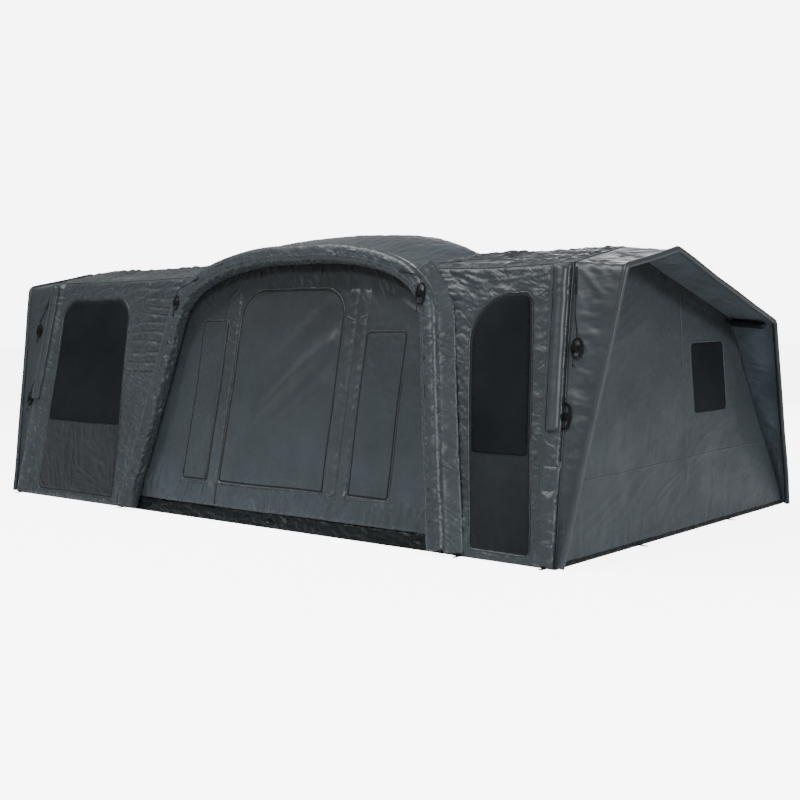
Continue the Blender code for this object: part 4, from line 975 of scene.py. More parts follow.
def disc(x, height, radius, sides=28):
    """Round hole on the front plane, anticlockwise."""
    angle = np.linspace(0, 2 * math.pi, sides, endpoint=False)
    return np.column_stack([x + radius * np.cos(angle), height * FRONT_SLOPE + radius * np.sin(angle)])


def still_at_valve(side, relief):
    """The same relief, flat round the valve so that its flange lies on the cloth."""
    def calm(x, s, edge):
        away = np.hypot(x - side * VALVE_X, s - VALVE_HEIGHT * FRONT_SLOPE)
        return relief(x, s, edge) * step_up(away, *VALVE_FLAT)
    return calm


WALLS = {}
for word, side in SIDES:
    door = WING_DOORS[word][0]
    outline = up_front(wing_outline(side, EAVE[1] - EAVE_GAP, 1.0))
    hole = disc(side * VALVE_X, VALVE_HEIGHT, VALVE_HOLE)
    relief = still_at_valve(side, wing_relief(side, 101 if side < 0 else 151))
    WALLS[word] = (relief, (outline, door, hole))
    panel(f"{word}_wing_wall", FRONT, outline, relief, [f"{word}_front_wall"], (door, hole),
          material=CRUMPLED)


# %% Wing doors: a frame with a net above and a close net below
def wing_door_relief(seed):
    """A door's frame: narrow cloth, creased along its zip and its net."""
    def relief(x, s, edge):
        out = cloth(x, s, edge, seed, broad=0.006, crumple=0.0010, near=0.0025, reach=0.1)
        return out + 0.005 * step_up(edge, 0, 0.03) * wrinkles(x, s, 0.11, seed + 40, -0.8, 0.5)
    return relief


def wing_net_relief(x, s, edge):
    """A net: slack in broad shallow waves."""
    slack = 0.006 * noise(flat3(x, s), 0.5, 171) + 0.002 * noise(flat3(x, s), 0.15, 172)
    return step_up(edge, 0, 0.1) * slack


for word, (door, pane, seed) in WING_DOORS.items():
    lower = PANEL_NET if word == "right" else DOOR_CLOTH
    panel(f"{word}_door_cloth", FRONT, door, wing_door_relief(seed), [f"{word}_door"], (pane,),
          body=f"{word}_door", material=lower)
    panel(f"{word}_door_mesh", FRONT, pane, wing_net_relief, [f"{word}_door_net"], step=COARSE,
          body=f"{word}_door", slot="net", material=NET)

# %% [markdown]
# ## Roofs, back and ends
#
# The rest of the skin is plainer, but it is seen from the other sides: two roof slopes a wing, the
# long low back, and the end walls with a net window each.

# %% Roof panels
def roof_relief(seed):
    """Roof cloth: it hollows a little between its seams and keeps long creases down the slope."""
    def relief(x, s, edge):
        out = cloth(x, s, edge, seed, broad=0.012, crumple=0.0020, near=0.0040, size=0.09)
        hollow = -0.012 * step_up(edge, 0, 0.35)
        along = 0.022 * wrinkles(x, s, 0.19, seed + 4, math.pi / 2 - 0.3, 0.45, 4.0)
        across = 0.012 * wrinkles(x, s, 0.14, seed + 24, 0.1, 0.30, 6.0)
        return out + hollow + (along + across) * step_up(edge, 0, 0.06)
    return relief


EAVE_ANGLE = math.asin(((EAVE[1] - SHOULDER) / ARCH_RISE) ** (ARCH_POWER / 2))


def dome_line(shares):
    """The arch's outer line above the eave: x and share of its rise, for shares 0 to 1 along it."""
    x, height = arch_crown(math.pi - EAVE_ANGLE - (math.pi - 2 * EAVE_ANGLE) * shares).T
    return x, (height - EAVE[1]) / (APEX - EAVE[1])


DOME_ENDS = dict(zip((-1, 1), dome_line(np.array([0.0, 1.0]))[0]))
VENT_HALF, VENT_LOW, VENT_HIGH, VENT_SLOT = 0.30, 0.10, 0.32, 0.05
VENTS = {"left": -2.11, "right": 2.17}


def box_ring(low_x, high_x, low_s, high_s):
    """Four corners of an upright rectangle, anticlockwise."""
    return np.array([(low_x, low_s), (high_x, low_s), (high_x, high_s), (low_x, high_s)])


FRONT_RUN = math.dist(EAVE, RIDGE)
REAR_RUN = math.dist(RIDGE, REAR_EAVE)
for word, side in SIDES:
    inner = DOME_ENDS[side]
    ends = [side * half_at(place[1]) for place in (EAVE, RIDGE, REAR_EAVE)]
    ring = np.array([(inner, 0), (ends[0], 0), (ends[1], FRONT_RUN), (inner, FRONT_RUN)])
    middle = VENTS[word]
    slot = box_ring(middle - VENT_HALF + VENT_SLOT, middle + VENT_HALF - VENT_SLOT,
                    VENT_LOW + VENT_SLOT, VENT_HIGH - VENT_SLOT)
    # The roofs take the darker copy of the cloth, painted shade.
    panel(f"{word}_roof_front", FRONT_ROOF, ring[::side], roof_relief(181 + side),
          [f"{word}_front_roof"], (slot,), material=ROOF_SHADED_CLOTH)
    ring = np.array([(-inner, 0), (-ends[2], 0), (-ends[1], REAR_RUN), (-inner, REAR_RUN)])
    panel(f"{word}_roof_rear", REAR_ROOF, ring[::-side], roof_relief(191 + side), [f"{word}_rear_roof"],
          step=COARSE, material=ROOF_SHADED_CLOTH)


# %% Rear walls
def rear_relief(seed):
    """The back: cloth drawn down to its pegs, so its folds run from the eave to the ground."""
    def relief(x, s, edge):
        out = cloth(x, s, edge, seed, broad=0.014, crumple=0.003, near=0.004, size=0.11)
        out += step_up(edge, 0, 0.08) * 0.008 * creases(flat3(x, s, math.pi / 2, 5.0), 0.16, seed + 6)
        return np.maximum(out, -0.003 - 0.04 * step_up(s, 0.16, 0.40))
    return relief


for word, side in SIDES:
    outline = wing_outline(side, REAR_EAVE[1] - EAVE_GAP, REAR_SHARE) * (-1, REAR_SLOPE)
    panel(f"{word}_back_wall", REAR, outline[::-1], rear_relief(201 + side), [f"{word}_rear_wall"],
          step=COARSE)
outline = arch(SKIN, REAR_SHARE) * (-1, REAR_SLOPE)
panel("middle_back_wall", REAR, outline, rear_relief(205), ["centre_rear_wall"], step=COARSE)

# %% [markdown]
# The dome is one surface between the two arches. Each row across it is the arch's own top, raised in
# the middle of the way back by a parabola, so that the rain runs off.

# %% Dome
DOME_HUMP, DOME_COLUMNS, DOME_ROWS = 0.30, 150, 110
FOLD_MARK = (RIDGE[0] - EAVE[0]) / (REAR_EAVE[0] - EAVE[0])


def dome_surface(columns, rows):
    """Grid of the dome: x along the arch, y from the front wall's plane to the rear one's.

    A row's side height follows the wings' roof and its crown follows the arches plus a parabola;
    between side and crown the height goes with the arch's share of its rise.
    """
    x, share = dome_line(np.linspace(0, 1, columns + 1))
    mark = np.linspace(0, 1, rows + 1)[:, None]
    front = -HALF_DEPTH + FRONT_LEAN * (EAVE[1] + (APEX - EAVE[1]) * share)
    rear = HALF_DEPTH - REAR_LEAN * REAR_SHARE * (EAVE[1] + (APEX - EAVE[1]) * share)
    up = EAVE[1] + (RIDGE[1] - EAVE[1]) * mark / FOLD_MARK
    down = RIDGE[1] + (REAR_EAVE[1] - RIDGE[1]) * (mark - FOLD_MARK) / (1 - FOLD_MARK)
    side = np.where(mark < FOLD_MARK, up, down)
    crown = APEX * (1 + (REAR_SHARE - 1) * mark) + DOME_HUMP * 4 * mark * (1 - mark)
    height = side + (crown - side) * share
    return np.stack([np.broadcast_to(x, height.shape), front + (rear - front) * mark, height], axis=-1)


def normals(grid):
    """Unit normals of a grid: cross product of its differences along a row and down a column."""
    over, down = np.gradient(grid, axis=1), np.gradient(grid, axis=0)
    cross = np.cross(over, down)
    return cross / np.linalg.norm(cross, axis=-1, keepdims=True).clip(1e-9)


def cloth_grid(name, grid, lift, node, material, slot="skin_cloth"):
    """Cloth on a grid, lifted along its normals, settled and thickened."""
    points = settle(grid + lift[..., None] * normals(grid))
    piece = thicken(grid_mesh(name, points))
    finish(piece, material, "tent", slot, node)
    return piece


dome = dome_surface(DOME_COLUMNS, DOME_ROWS)
cells = dome.reshape(-1, 3)
across, back = (np.linspace(0, 1, n + 1) for n in (DOME_COLUMNS, DOME_ROWS))
rim = np.minimum(np.minimum.outer(back, across), np.minimum.outer(1 - back, 1 - across))
rim = step_up(rim, 0, 0.03)
stretched = np.column_stack([cells[:, 0], cells[:, 1] / 4, np.zeros(len(cells))])
lift = 0.010 * noise(cells, 0.6, 211) + 0.0030 * creases(cells, 0.11, 212)
lift += 0.006 * creases(stretched, 0.10, 214)
# The dome takes the lighter copy of the cloth, painted light.
cloth_grid("dome_cloth", dome, lift.reshape(rim.shape) * rim, "dome_roof", DOME_LIT_CLOTH)


# %% End walls
WINDOW = (0.25, 0.83, 0.93, 1.50)
END_FOLDS = (((0.06, 0.80), (0.04, 0.36), 0.018, 0.012), ((-1.2, 1.2), (-0.9, 0.1), 0.10, 0.014),
             ((0.9, 1.1), (1.3, 0.1), 0.12, 0.012))


def end_relief(side):
    """An end wall: broad and taut, with a few upright folds that its pegs pull into it."""
    def relief(x, s, edge):
        out = cloth(x, s, edge, 221 + side, broad=0.010, crumple=0.0010, near=0.0025, size=0.10)
        pin = step_up(edge, 0, 0.08)
        for (a, low), (b, high), width, height in END_FOLDS:
            out += pin * fold(x, s, (side * a, low), (side * b, high), width, height)
        low = 1 - step_up(s, 0.05, 0.4)
        out += pin * 0.004 * wrinkles(x, s, 0.16, 227, side * 0.9, 0.5, 5.0)
        return out + pin * low * 0.006 * wrinkles(x, s, 0.14, 225, math.pi / 2, 0.3, 3.0)
    return relief


ENDS = {}
for word, side in SIDES:
    face = end_plane(side)
    outline = SECTION * (side, END_SLOPE)
    low, high = sorted((side * WINDOW[0], side * WINDOW[1]))
    ring = box_ring(low, high, WINDOW[2] * END_SLOPE, WINDOW[3] * END_SLOPE)
    ring = rounded(ring, COVER_RADII)
    ENDS[word] = (face, end_relief(side), (outline[::side], ring))
    panel(f"{word}_end_cloth", face, outline[::side], end_relief(side), [f"{word}_end_wall"], (ring,))
    panel(f"{word}_end_mesh", face, ring, net_relief(0.0), [f"{word}_end_window"], slot="net",
          material=NET, step=COARSE)

# %% [markdown]
# ## Porches
#
# A hood is one sheet between two lines: its root on the edge of the end wall, and its rim on a thin
# hoop. Both lines have the same bends, so a place on one has a partner on the other, and the sheet is
# what lies between the partners, hollowed a little where nothing holds it.

# %% Hoods and hoops
PORCH_REACH, PORCH_FOOT, PORCH_DROOP = 0.30, 0.045, 0.04
HOOP_TUBE, HOOP_BEND = 0.022, 0.06


def around_section(reach, foot_reach, drop):
    """Line over the section from the front foot to the rear, beyond the end by a reach."""
    front, back = EAVE[1] - drop, REAR_EAVE[1] - drop
    top, foot = HALF_LENGTH + reach, HALF_LENGTH + foot_reach
    return np.array([(foot, -HALF_DEPTH, 0), (top, front * FRONT_LEAN - HALF_DEPTH, front),
                     (top, RIDGE[0], RIDGE[1] - drop), (top, HALF_DEPTH - back * REAR_LEAN, back),
                     (foot, HALF_DEPTH, 0)])


def even_index(line, step):
    """Fractional indices of places that lie a step apart along a line."""
    run = run_along(line)
    return np.interp(np.linspace(0, run[-1], round(run[-1] / step) + 1), run, np.arange(len(run)))


def at_index(line, index):
    """Points of a line at fractional indices."""
    return at_run(line, np.arange(len(line)), index)


def at_run(line, run, places):
    """Points of a line at places of its run, which holds a number for each of the line's points."""
    return np.column_stack([np.interp(places, run, axis) for axis in line.T])


def circle(across, out, count, power=2.0):
    """Profile of a tube: a superellipse, whose power of 2 is a true ellipse."""
    angle = np.linspace(0, 2 * math.pi, count, endpoint=False)
    c, s = np.cos(angle), np.sin(angle)
    round_off = (np.abs(c) ** power + np.abs(s) ** power) ** (-1 / power)
    return np.column_stack([across * c * round_off, out * s * round_off])


PORCH_BENDS = (0, HOOP_BEND, HOOP_BEND, HOOP_BEND, 0)
ROOT = np.array([(HALF_LENGTH - END_LEAN * z, y, z) for y, z in SECTION])
RIM_LINE = around_section(PORCH_REACH, PORCH_FOOT, PORCH_DROOP)
LOW_ENDS = 0.006
for line in (ROOT, RIM_LINE):
    line[0] += (line[1] - line[0]) * LOW_ENDS
    line[-1] += (line[-2] - line[-1]) * LOW_ENDS
ROOT = rounded(ROOT, PORCH_BENDS, closed=False)
RIM_LINE = rounded(RIM_LINE, PORCH_BENDS, closed=False)
HOOD_ROWS, HOOD_HOLLOW, HOOD_STRETCH = 15, 0.014, 3
for word, side in SIDES:
    index = even_index(ROOT, FINE)
    root, rim_line = (at_index(line, index) * (side, 1, 1) for line in (ROOT, RIM_LINE))
    share = np.linspace(0, 1 - 0.4 * HOOP_TUBE / PORCH_REACH, HOOD_ROWS)[:, None, None]
    grid = root * (1 - share) + rim_line * share
    flat = grid.reshape(-1, 3)
    across_hood = np.column_stack([flat[:, 0] / HOOD_STRETCH, flat[:, 1], flat[:, 2]])
    lift = 0.005 * creases(across_hood, 0.10, 231 + side) + 0.0025 * creases(flat, 0.05, 235 + side)
    lift += 0.010 * noise(flat, 0.45, 238 + side)
    upper = step_up(flat[:, 2], 1.45, 2.0)
    drawn = wrinkles(flat[:, 1] + flat[:, 0], flat[:, 2], 0.10, 239 + side, -0.5, 0.5)
    lift += (0.003 + 0.012 * upper) * drawn
    held_in = np.sin(math.pi * share[:, :, 0] / share.max())
    lift = (lift.reshape(grid.shape[:2]) - HOOD_HOLLOW) * held_in
    if side > 0:
        grid, lift = grid[::-1], lift[::-1]
    hood = cloth_grid(f"{word}_hood_cloth", grid, lift, f"{word}_porch_hood", HOOD_CLOTH)
    # The inner side of the hood takes the lighter copy of the cloth, painted light.
    hood.data.materials.append(HOOD_INSIDE_LIT)
    hood.modifiers["thickness"].material_offset = 1
    hoop_path = settle(at_index(RIM_LINE, even_index(RIM_LINE, LINE_STEP)) * (side, 1, 1))
    hoop = tube(f"{word}_hoop", hoop_path, (0.6 * side, 0, 1), circle(HOOP_TUBE, HOOP_TUBE, 20))
    finish(hoop, SKIN_CLOTH, "tent", "skin_cloth", f"{word}_porch_hoop")

# %% [markdown]
# ## Sleeves and beams
#
# The front arch is an air tube in a sleeve. The sleeve is smooth on its outer side, where the tube
# fills it, and crumpled on its inner side, below a seam that follows the arch.

# %% Arch sleeves
def sink(radius, *leans):
    """How far the rim of a leaning tube's flat end lies below its centre."""
    slope = math.hypot(*leans)
    return radius * slope / math.hypot(1, slope)


def arch_path(share, lean, rear_side):
    """Centre line of an arch's tube, laid on the front or the rear plane."""
    line = arch(ARCH_TUBE, share)
    height = sink(ARCH_TUBE, lean, (ARCH_FOOT - ARCH_HEAD) / APEX / share)
    line[0] = at_height(line[0], line[1], height)
    line[-1] = at_height(line[-1], line[-2], height)
    face = REAR if rear_side else FRONT
    slope = REAR_SLOPE if rear_side else FRONT_SLOPE
    line = line[::-1] * (-1, slope) if rear_side else line * (1, slope)
    return on(face, *line.T, ARCH_TUBE + SEAT), face


def sleeve(name, path, out, radius, node, crumple, seed, material=SLEEVE_CLOTH, slot="sleeve_cloth",
           power=2.25):
    """A cloth tube over a beam, more crumpled on one side; crumple is its depth on (this, that) side."""
    path = at_index(path, even_index(path, FINE * 0.75))
    profile = circle(radius, radius, SLEEVE_SIDES, power)
    grid = sweep(path, out, profile)
    _, across, upward = frames(path, out)
    rays = profile / np.linalg.norm(profile, axis=1, keepdims=True)
    spokes = rays[:, :1] * across[:, None] + rays[:, 1:] * upward[:, None]
    share = step_up(rays[:, 0], -0.35, 0.25)
    depth = crumple[0] + (crumple[1] - crumple[0]) * share
    flat = grid.reshape(-1, 3)
    rough = creases(flat, 0.055, seed).reshape(grid.shape[:2])
    ease = np.minimum(1, np.minimum(np.arange(len(path)), np.arange(len(path))[::-1]) / 4)[:, None]
    back = step_up(rays[:, 1], -0.98, -0.75)
    grid = grid + (ease * depth * (rough - 0.35) * back)[..., None] * spokes
    piece = grid_mesh(name, settle(grid), True, True)
    finish(piece, material, "tent", slot, node)
    return piece


front_path, _ = arch_path(1.0, FRONT_LEAN, False)
rear_path, _ = arch_path(REAR_SHARE, REAR_LEAN, True)
sleeve("front_arch_sleeve", front_path, FRONT[3], ARCH_TUBE, "front_arch_beam", (0.0075, 0.0014), 241,
       power=3.2)
sleeve("rear_arch_sleeve", rear_path, REAR[3], ARCH_TUBE, "rear_arch_beam", (0.0040, 0.0012), 245)

# %% Beams inside the cloth
SHEET, SKIN_CAD = 0.004, 0.006
END_TUBE, END_BEND, RIDGE_TUBE = 0.07, 0.30, 0.045
BEAM_INSET = SKIN_CAD + SHEET + 2 * SEAT


def drawn_in(line, by):
    """An open line with every piece moved to its right; corners are where the moved pieces cross."""
    ways = unit(np.diff(line, axis=0))
    starts = line[:-1] + by * np.column_stack([ways[:, 1], -ways[:, 0]])
    corners = [starts[0]]
    for k in range(1, len(ways)):
        t = np.linalg.solve(np.column_stack([ways[k - 1], -ways[k]]), starts[k] - starts[k - 1])[0]
        corners.append(starts[k - 1] + t * ways[k - 1])
    corners.append(line[-1] + by * np.array([ways[-1][1], -ways[-1][0]]))
    return np.array(corners)


for word, side in SIDES:
    line = drawn_in(SECTION, BEAM_INSET + END_TUBE)
    foot = SHEET + SEAT + sink(END_TUBE, FRONT_LEAN, END_LEAN)
    heel = SHEET + SEAT + sink(END_TUBE, REAR_LEAN, END_LEAN)
    line[0] = at_height(line[0], line[1], foot)
    line[-1] = at_height(line[-1], line[-2], heel)
    line = rounded(line, (0, END_BEND, END_BEND, END_BEND, 0), closed=False)
    ends = HALF_LENGTH - END_LEAN * line[:, 1] - (BEAM_INSET + END_TUBE) * END_SLOPE
    path = np.column_stack([side * ends, line])
    sleeve(f"{word}_end_tube", path, (side, 0, END_LEAN), END_TUBE, f"{word}_end_beam", (0.001, 0.001),
           251 + side, BEAM_FILM, "beam_film")
y, z = drawn_in(SECTION, SKIN_CAD + SEAT + RIDGE_TUBE)[2]
reach = HALF_LENGTH - END_LEAN * z - (BEAM_INSET + 2 * END_TUBE) * END_SLOPE
reach = reach - RIDGE_TUBE * END_LEAN - SEAT
path = np.array([(-reach, y, z), (0, y, z), (reach, y, z)])
sleeve("ridge_tube", path, (0, 0, 1), RIDGE_TUBE, "ridge_beam", (0.001, 0.001), 255, BEAM_FILM, "beam_film")

# %% [markdown]
# ## Groundsheet
#
# The groundsheet is a tray: a flat floor whose rim is turned up inside the walls. In front of the
# middle room the rim is what is seen, crumpled and dark under the hem of the wall.

# %% Groundsheet
RIM_ROWS, FLOOR_ROWS = 9, 5
SHEET_STRETCH, SHEET_CLOTH_THICK = 3.5, 0.0012


def tray_corners(height, shrink):
    """Corners of the tray at a height, drawn in towards its middle line by a share."""
    front = FRONT_LEAN * height - HALF_DEPTH + SKIN * FRONT_SLOPE
    back = HALF_DEPTH - REAR_LEAN * height - SKIN * REAR_SLOPE
    half = HALF_LENGTH - END_LEAN * height - SKIN
    middle = (front + back) / 2
    corners = np.array([(-half, front), (half, front), (half, back), (-half, back)])
    corners[:, 1] = middle + (corners[:, 1] - middle) * (1 - shrink)
    corners[:, 0] -= np.sign(corners[:, 0]) * shrink * (back - front) / 2
    return np.column_stack([corners, np.full(4, height)])


def perimeter(corners, counts):
    """Points round a rectangle, with a count of steps on each side."""
    return np.vstack([a + (b - a) * np.linspace(0, 1, count, endpoint=False)[:, None]
                      for a, b, count in zip(corners, np.roll(corners, -1, axis=0), counts)])


counts = [round(length / FINE) for length in (2 * HALF_LENGTH, 2 * HALF_DEPTH) * 2]
levels = [(RIM * t, 0.0) for t in np.linspace(1, 0, RIM_ROWS)]
levels += [(0.0, t) for t in np.linspace(0, 0.98, FLOOR_ROWS)[1:]]
grid = np.array([perimeter(tray_corners(height, shrink), counts) for height, shrink in levels])
flat = grid.reshape(-1, 3)
rise_share = step_up(flat[:, 2], 0.004, 0.05) * step_up(RIM - flat[:, 2], -0.01, 0.03)
drawn = np.column_stack([flat[:, 0] / SHEET_STRETCH, flat[:, 1] / SHEET_STRETCH, flat[:, 2]])
push = rise_share * 0.016 * creases(drawn, 0.050, 261)
under_middle = band(flat[:, 0], ARCH_X - ARCH_FOOT, ARCH_X + ARCH_FOOT, 0.1) * (flat[:, 1] < 0)
flat[:, 1] -= push * under_middle * 1.4
grid = flat.reshape(grid.shape)
tray = grid_mesh("tray", grid, wrap=True)
thicken(tray, SHEET_CLOTH_THICK).modifiers["thickness"].offset = 1
finish(tray, SHEET_CLOTH, "tent", "groundsheet_cloth", "groundsheet")

# %% [markdown]
# ## Vent covers and valves
#
# A flap of cloth lies over each roof vent. Low in each front corner a valve goes through the wall
# into the beam, under its screw cap and a cloth cover that bulges over it.

# %% Vent covers
VENT_CLOTH = 0.004


def vent_relief(x, s, edge):
    """A vent's cover: a flap that waves along its free lower edge."""
    loose = 1 - step_up(s, VENT_LOW, VENT_HIGH)
    return VENT_CLOTH + 0.004 * loose + 0.005 * loose * noise(flat3(x, s), 0.12, 271)


for word, middle in VENTS.items():
    ring = box_ring(middle - VENT_HALF, middle + VENT_HALF, VENT_LOW, VENT_HIGH)
    panel(f"{word}_vent_flap", FRONT_ROOF, ring, vent_relief, [f"{word}_vent_cover"],
          body=f"{word}_vent_cover", material=ROOF_SHADED_CLOTH)

# %% Turned and pressed plastic
VALVE_BASE = BEAM_INSET - SEAT
FLANGE, FLANGE_TOP, STEM, NECK, NECK_TOP = 0.032, 0.0053, 0.022, 0.019, 0.0203
CAP_IN, CAP_OUT, CAP_LOW, CAP_TOP = 0.0193, 0.0223, 0.0056, 0.0246
RIBS, RIB_DEPTH = 30, 0.0006


def turned(name, profile, x, height, body, node, ribs=(), steps=60):
    """A turned piece on the front plane, from (radius, w) places; ribbed rings swell in and out."""
    angle = np.linspace(0, 2 * math.pi, steps, endpoint=False)
    radius, w = np.array(profile, float).T
    wave = RIB_DEPTH * (np.cos(RIBS * angle) - 1) / 2
    rings = radius[:, None] + np.isin(np.arange(len(radius)), ribs)[:, None] * wave
    grid = on(FRONT, x + rings * np.cos(angle), height * FRONT_SLOPE + rings * np.sin(angle), w[:, None])
    piece = grid_mesh(name, grid, wrap=True, caps=True)
    piece.data.set_sharp_from_angle(angle=math.radians(35))
    return finish(piece, PLASTIC, body, "black_plastic", node)


BODY_PROFILE = [(STEM, -VALVE_BASE), (STEM, SEAT), (FLANGE - 0.001, SEAT), (FLANGE, 0.0015),
                (FLANGE, FLANGE_TOP - 0.001), (FLANGE - 0.001, FLANGE_TOP), (NECK, FLANGE_TOP),
                (NECK, NECK_TOP - 0.001), (NECK - 0.001, NECK_TOP)]
CAP_PROFILE = [(CAP_IN, NECK_TOP + SEAT), (CAP_IN, CAP_LOW), (CAP_OUT - 0.0005, CAP_LOW),
               (CAP_OUT, CAP_LOW + 0.0008), (CAP_OUT, CAP_LOW + 0.002), (CAP_OUT, CAP_TOP - 0.003),
               (CAP_OUT - 0.0005, CAP_TOP - 0.001), (CAP_OUT - 0.0018, CAP_TOP), (CAP_OUT - 0.006, CAP_TOP),
               (CAP_OUT - 0.0066, CAP_TOP - 0.0008), (CAP_OUT - 0.012, CAP_TOP - 0.0008),
               (CAP_OUT - 0.0125, CAP_TOP)]
for word, side in SIDES:
    x = side * VALVE_X
    turned(f"{word}_valve_body", BODY_PROFILE, x, VALVE_HEIGHT, "tent", f"{word}_valve")
    turned(f"{word}_cap", CAP_PROFILE, x, VALVE_HEIGHT, f"{word}_valve_cap", f"{word}_valve_cap",
           ribs=(4, 5), steps=120)

# %% Valve covers
COVER_WIDE, COVER_HIGH, COVER_ABOVE, COVER_CLOTH = 0.15, 0.26, 0.13, 0.002
COVER_BULGE = CAP_TOP + SEAT
COVER_GRID = 40
for word, side in SIDES:
    down, across = np.meshgrid(np.linspace(1, 0, COVER_GRID), np.linspace(-1, 1, COVER_GRID), indexing="ij")
    swell = np.minimum(1, 1.6 * np.sin(math.pi * down)) * np.minimum(1, 1.3 * (1 - np.abs(across) ** 3))
    x, s = across * COVER_WIDE / 2, VALVE_HEIGHT * FRONT_SLOPE + COVER_ABOVE - down * COVER_HIGH
    free = step_up(down, 0, 0.3)
    creased = creases(flat3(x.ravel(), s.ravel(), side * 0.7, 2.0), 0.045, 281 + side).reshape(x.shape)
    slack = 0.0008 + 0.0042 * (creased + 0.6) * free
    places = on(FRONT, x + side * VALVE_X, s, COVER_CLOTH + SEAT + swell * COVER_BULGE + slack)
    cover = thicken(grid_mesh(f"{word}_valve_flap", places), COVER_CLOTH)
    # The cover takes the lighter copy of the cloth, a painted highlight.
    finish(cover, FLAP_LIT_CLOTH, f"{word}_valve_cover", "skin_cloth", f"{word}_valve_cover")

# %% Zip sliders
SLIDER_WIDE, SLIDER_LONG, SLIDER_HIGH = 0.010, 0.016, 0.005
PULL_LONG, PULL_WIDE, PULL_TOP = 0.045, 0.007, 0.012
BRIDGE_WIDE, BRIDGE_LOW, BRIDGE_TOP, BRIDGE_CURVE = 0.0028, 0.004, 0.014, 0.0008
SLIDERS = {"front_door": (DOOR_LEFT, DOOR_SILL, DOOR_LEFT, DOOR_HEAD, -1),
           "front_left_cover": (COVER_LEFT[0], COVER_LEFT[2], COVER_LEFT[0], COVER_LEFT[3], -1),
           "front_right_cover": (COVER_RIGHT[0], COVER_RIGHT[2], COVER_RIGHT[0], COVER_RIGHT[3], -1),
           "left_door": (*at_height(*LEFT_EDGES[1], WING_SILL), *LEFT_EDGES[1][1], 1),
           "right_door": (*at_height(*RIGHT_EDGES[0], WING_SILL), *RIGHT_EDGES[0][1], -1)}


def plate(outline, base, top, soft=0.0006):
    """Points and faces of a plate with softened edges, from an outline in its own plane."""
    ring = np.array(outline, float)
    middle = ring.mean(axis=0)
    small = middle + (ring - middle) * (1 - soft / np.linalg.norm(ring - middle, axis=1, keepdims=True))
    layers = [(small, base), (ring, base + soft), (ring, top - soft), (small, top)]
    points = np.vstack([np.column_stack([line, np.full(len(line), w)]) for line, w in layers])
    count = len(ring)
    faces = [[a + k, a + (k + 1) % count, a + count + (k + 1) % count, a + count + k]
             for a in (0, count, 2 * count) for k in range(count)]
    faces += [list(range(count))[::-1], list(range(3 * count, 4 * count))]
    return points, faces


def gathered(parts):
    """Several lots of points and faces as one."""
    points = np.vstack([part[0] for part in parts])
    faces = []
    start = 0
    for part in parts:
        faces += [[k + start for k in face] for face in part[1]]
        start += len(part[0])
    return points, faces


for name, (low_x, low, high_x, high, way) in SLIDERS.items():
    foot, head = up_front([(low_x, low), (high_x, high)])
    along = unit(head - foot)
    beside = np.array([along[1], -along[0]])
    spot = foot + along * (CORNER + PULL_LONG) + beside * way * (SLIDER_WIDE / 2 + 2 * SEAT)
    half, pull, arm = SLIDER_WIDE / 2, PULL_WIDE / 2, BRIDGE_WIDE / 2
    body = rounded(box_ring(-half, half, 0, SLIDER_LONG), (0.001, 0.001, 0.004, 0.004))
    tag = rounded(box_ring(-pull, pull, SLIDER_LONG - PULL_LONG, PULL_TOP), (0.003, 0.003, 0.002, 0.002))
    bridge = rounded(box_ring(-arm, arm, BRIDGE_LOW, BRIDGE_TOP), [BRIDGE_CURVE] * 4)
    points, faces = gathered([plate(body, SEAT, 0.0036), plate(bridge, 0.0030, SLIDER_HIGH + SEAT),
                              plate(tag, 0.0012, 0.0032, 0.0005)])
    x, s = (spot + points[:, :1] * beside + points[:, 1:2] * along).T
    slider = add_mesh(f"{name}_slider_body", on(FRONT, x, s, points[:, 2]), faces)
    slider.data.set_sharp_from_angle(angle=math.radians(40))
    finish(slider, PLASTIC, f"{name}_slider", "black_plastic", f"{name}_slider")

# %% [markdown]
# ## Webbing and guy lines
#
# Webbing is a flat strip: a tab or strap is a rounded outline, laid on whatever carries it. The guy
# lines are 6 mm braid, each tied up in a long hank. A hank is one unbroken line: it turns on a long
# oval that shrinks for half of its turns and grows again for the other half, one layer higher.

# %% Webbing tabs
TAB_CLOTH, TAB_WIDE, TAB_LONG, TAB_ROOT, TAB_HOLE, TAB_FILL = 0.0025, 0.035, 0.075, 0.02, 0.009, 0.007
GUY_TAB_WIDE, GUY_TAB_LONG, STRAP_WIDE = 0.026, 0.05, 0.022
TAB_END_GAP, TAB_ARCH_GAP, TAB_SPREAD = 0.08, 0.06, 0.75


def webbing(name, start, stop, out, width, hole=0.0):
    """A webbing strip between two places, its end round, with a hole for a peg if it has one."""
    start, stop, out = (np.array(v, float) for v in (start, stop, out))
    along = stop - start
    length = np.linalg.norm(along)
    along /= length
    across = np.cross(along, out)
    half = width / 2
    ring = rounded(box_ring(-half, half, 0, length), (0.001, 0.001, half / 2, half / 2), 6)
    holes = [disc(0, 0, hole, 16) + (0, length - half)] if hole else []
    flat, faces, _ = fill(ring, holes, TAB_FILL)
    points = start + flat[:, :1] * across + flat[:, 1:] * along + TAB_CLOTH * out
    uv = (flat / (width, 1) + (0.5, 0))[faces.ravel()]
    piece = thicken(add_mesh(name, points, faces[:, ::-1], uv), TAB_CLOTH)
    return finish(piece, WEBBING, "tent", "cord")


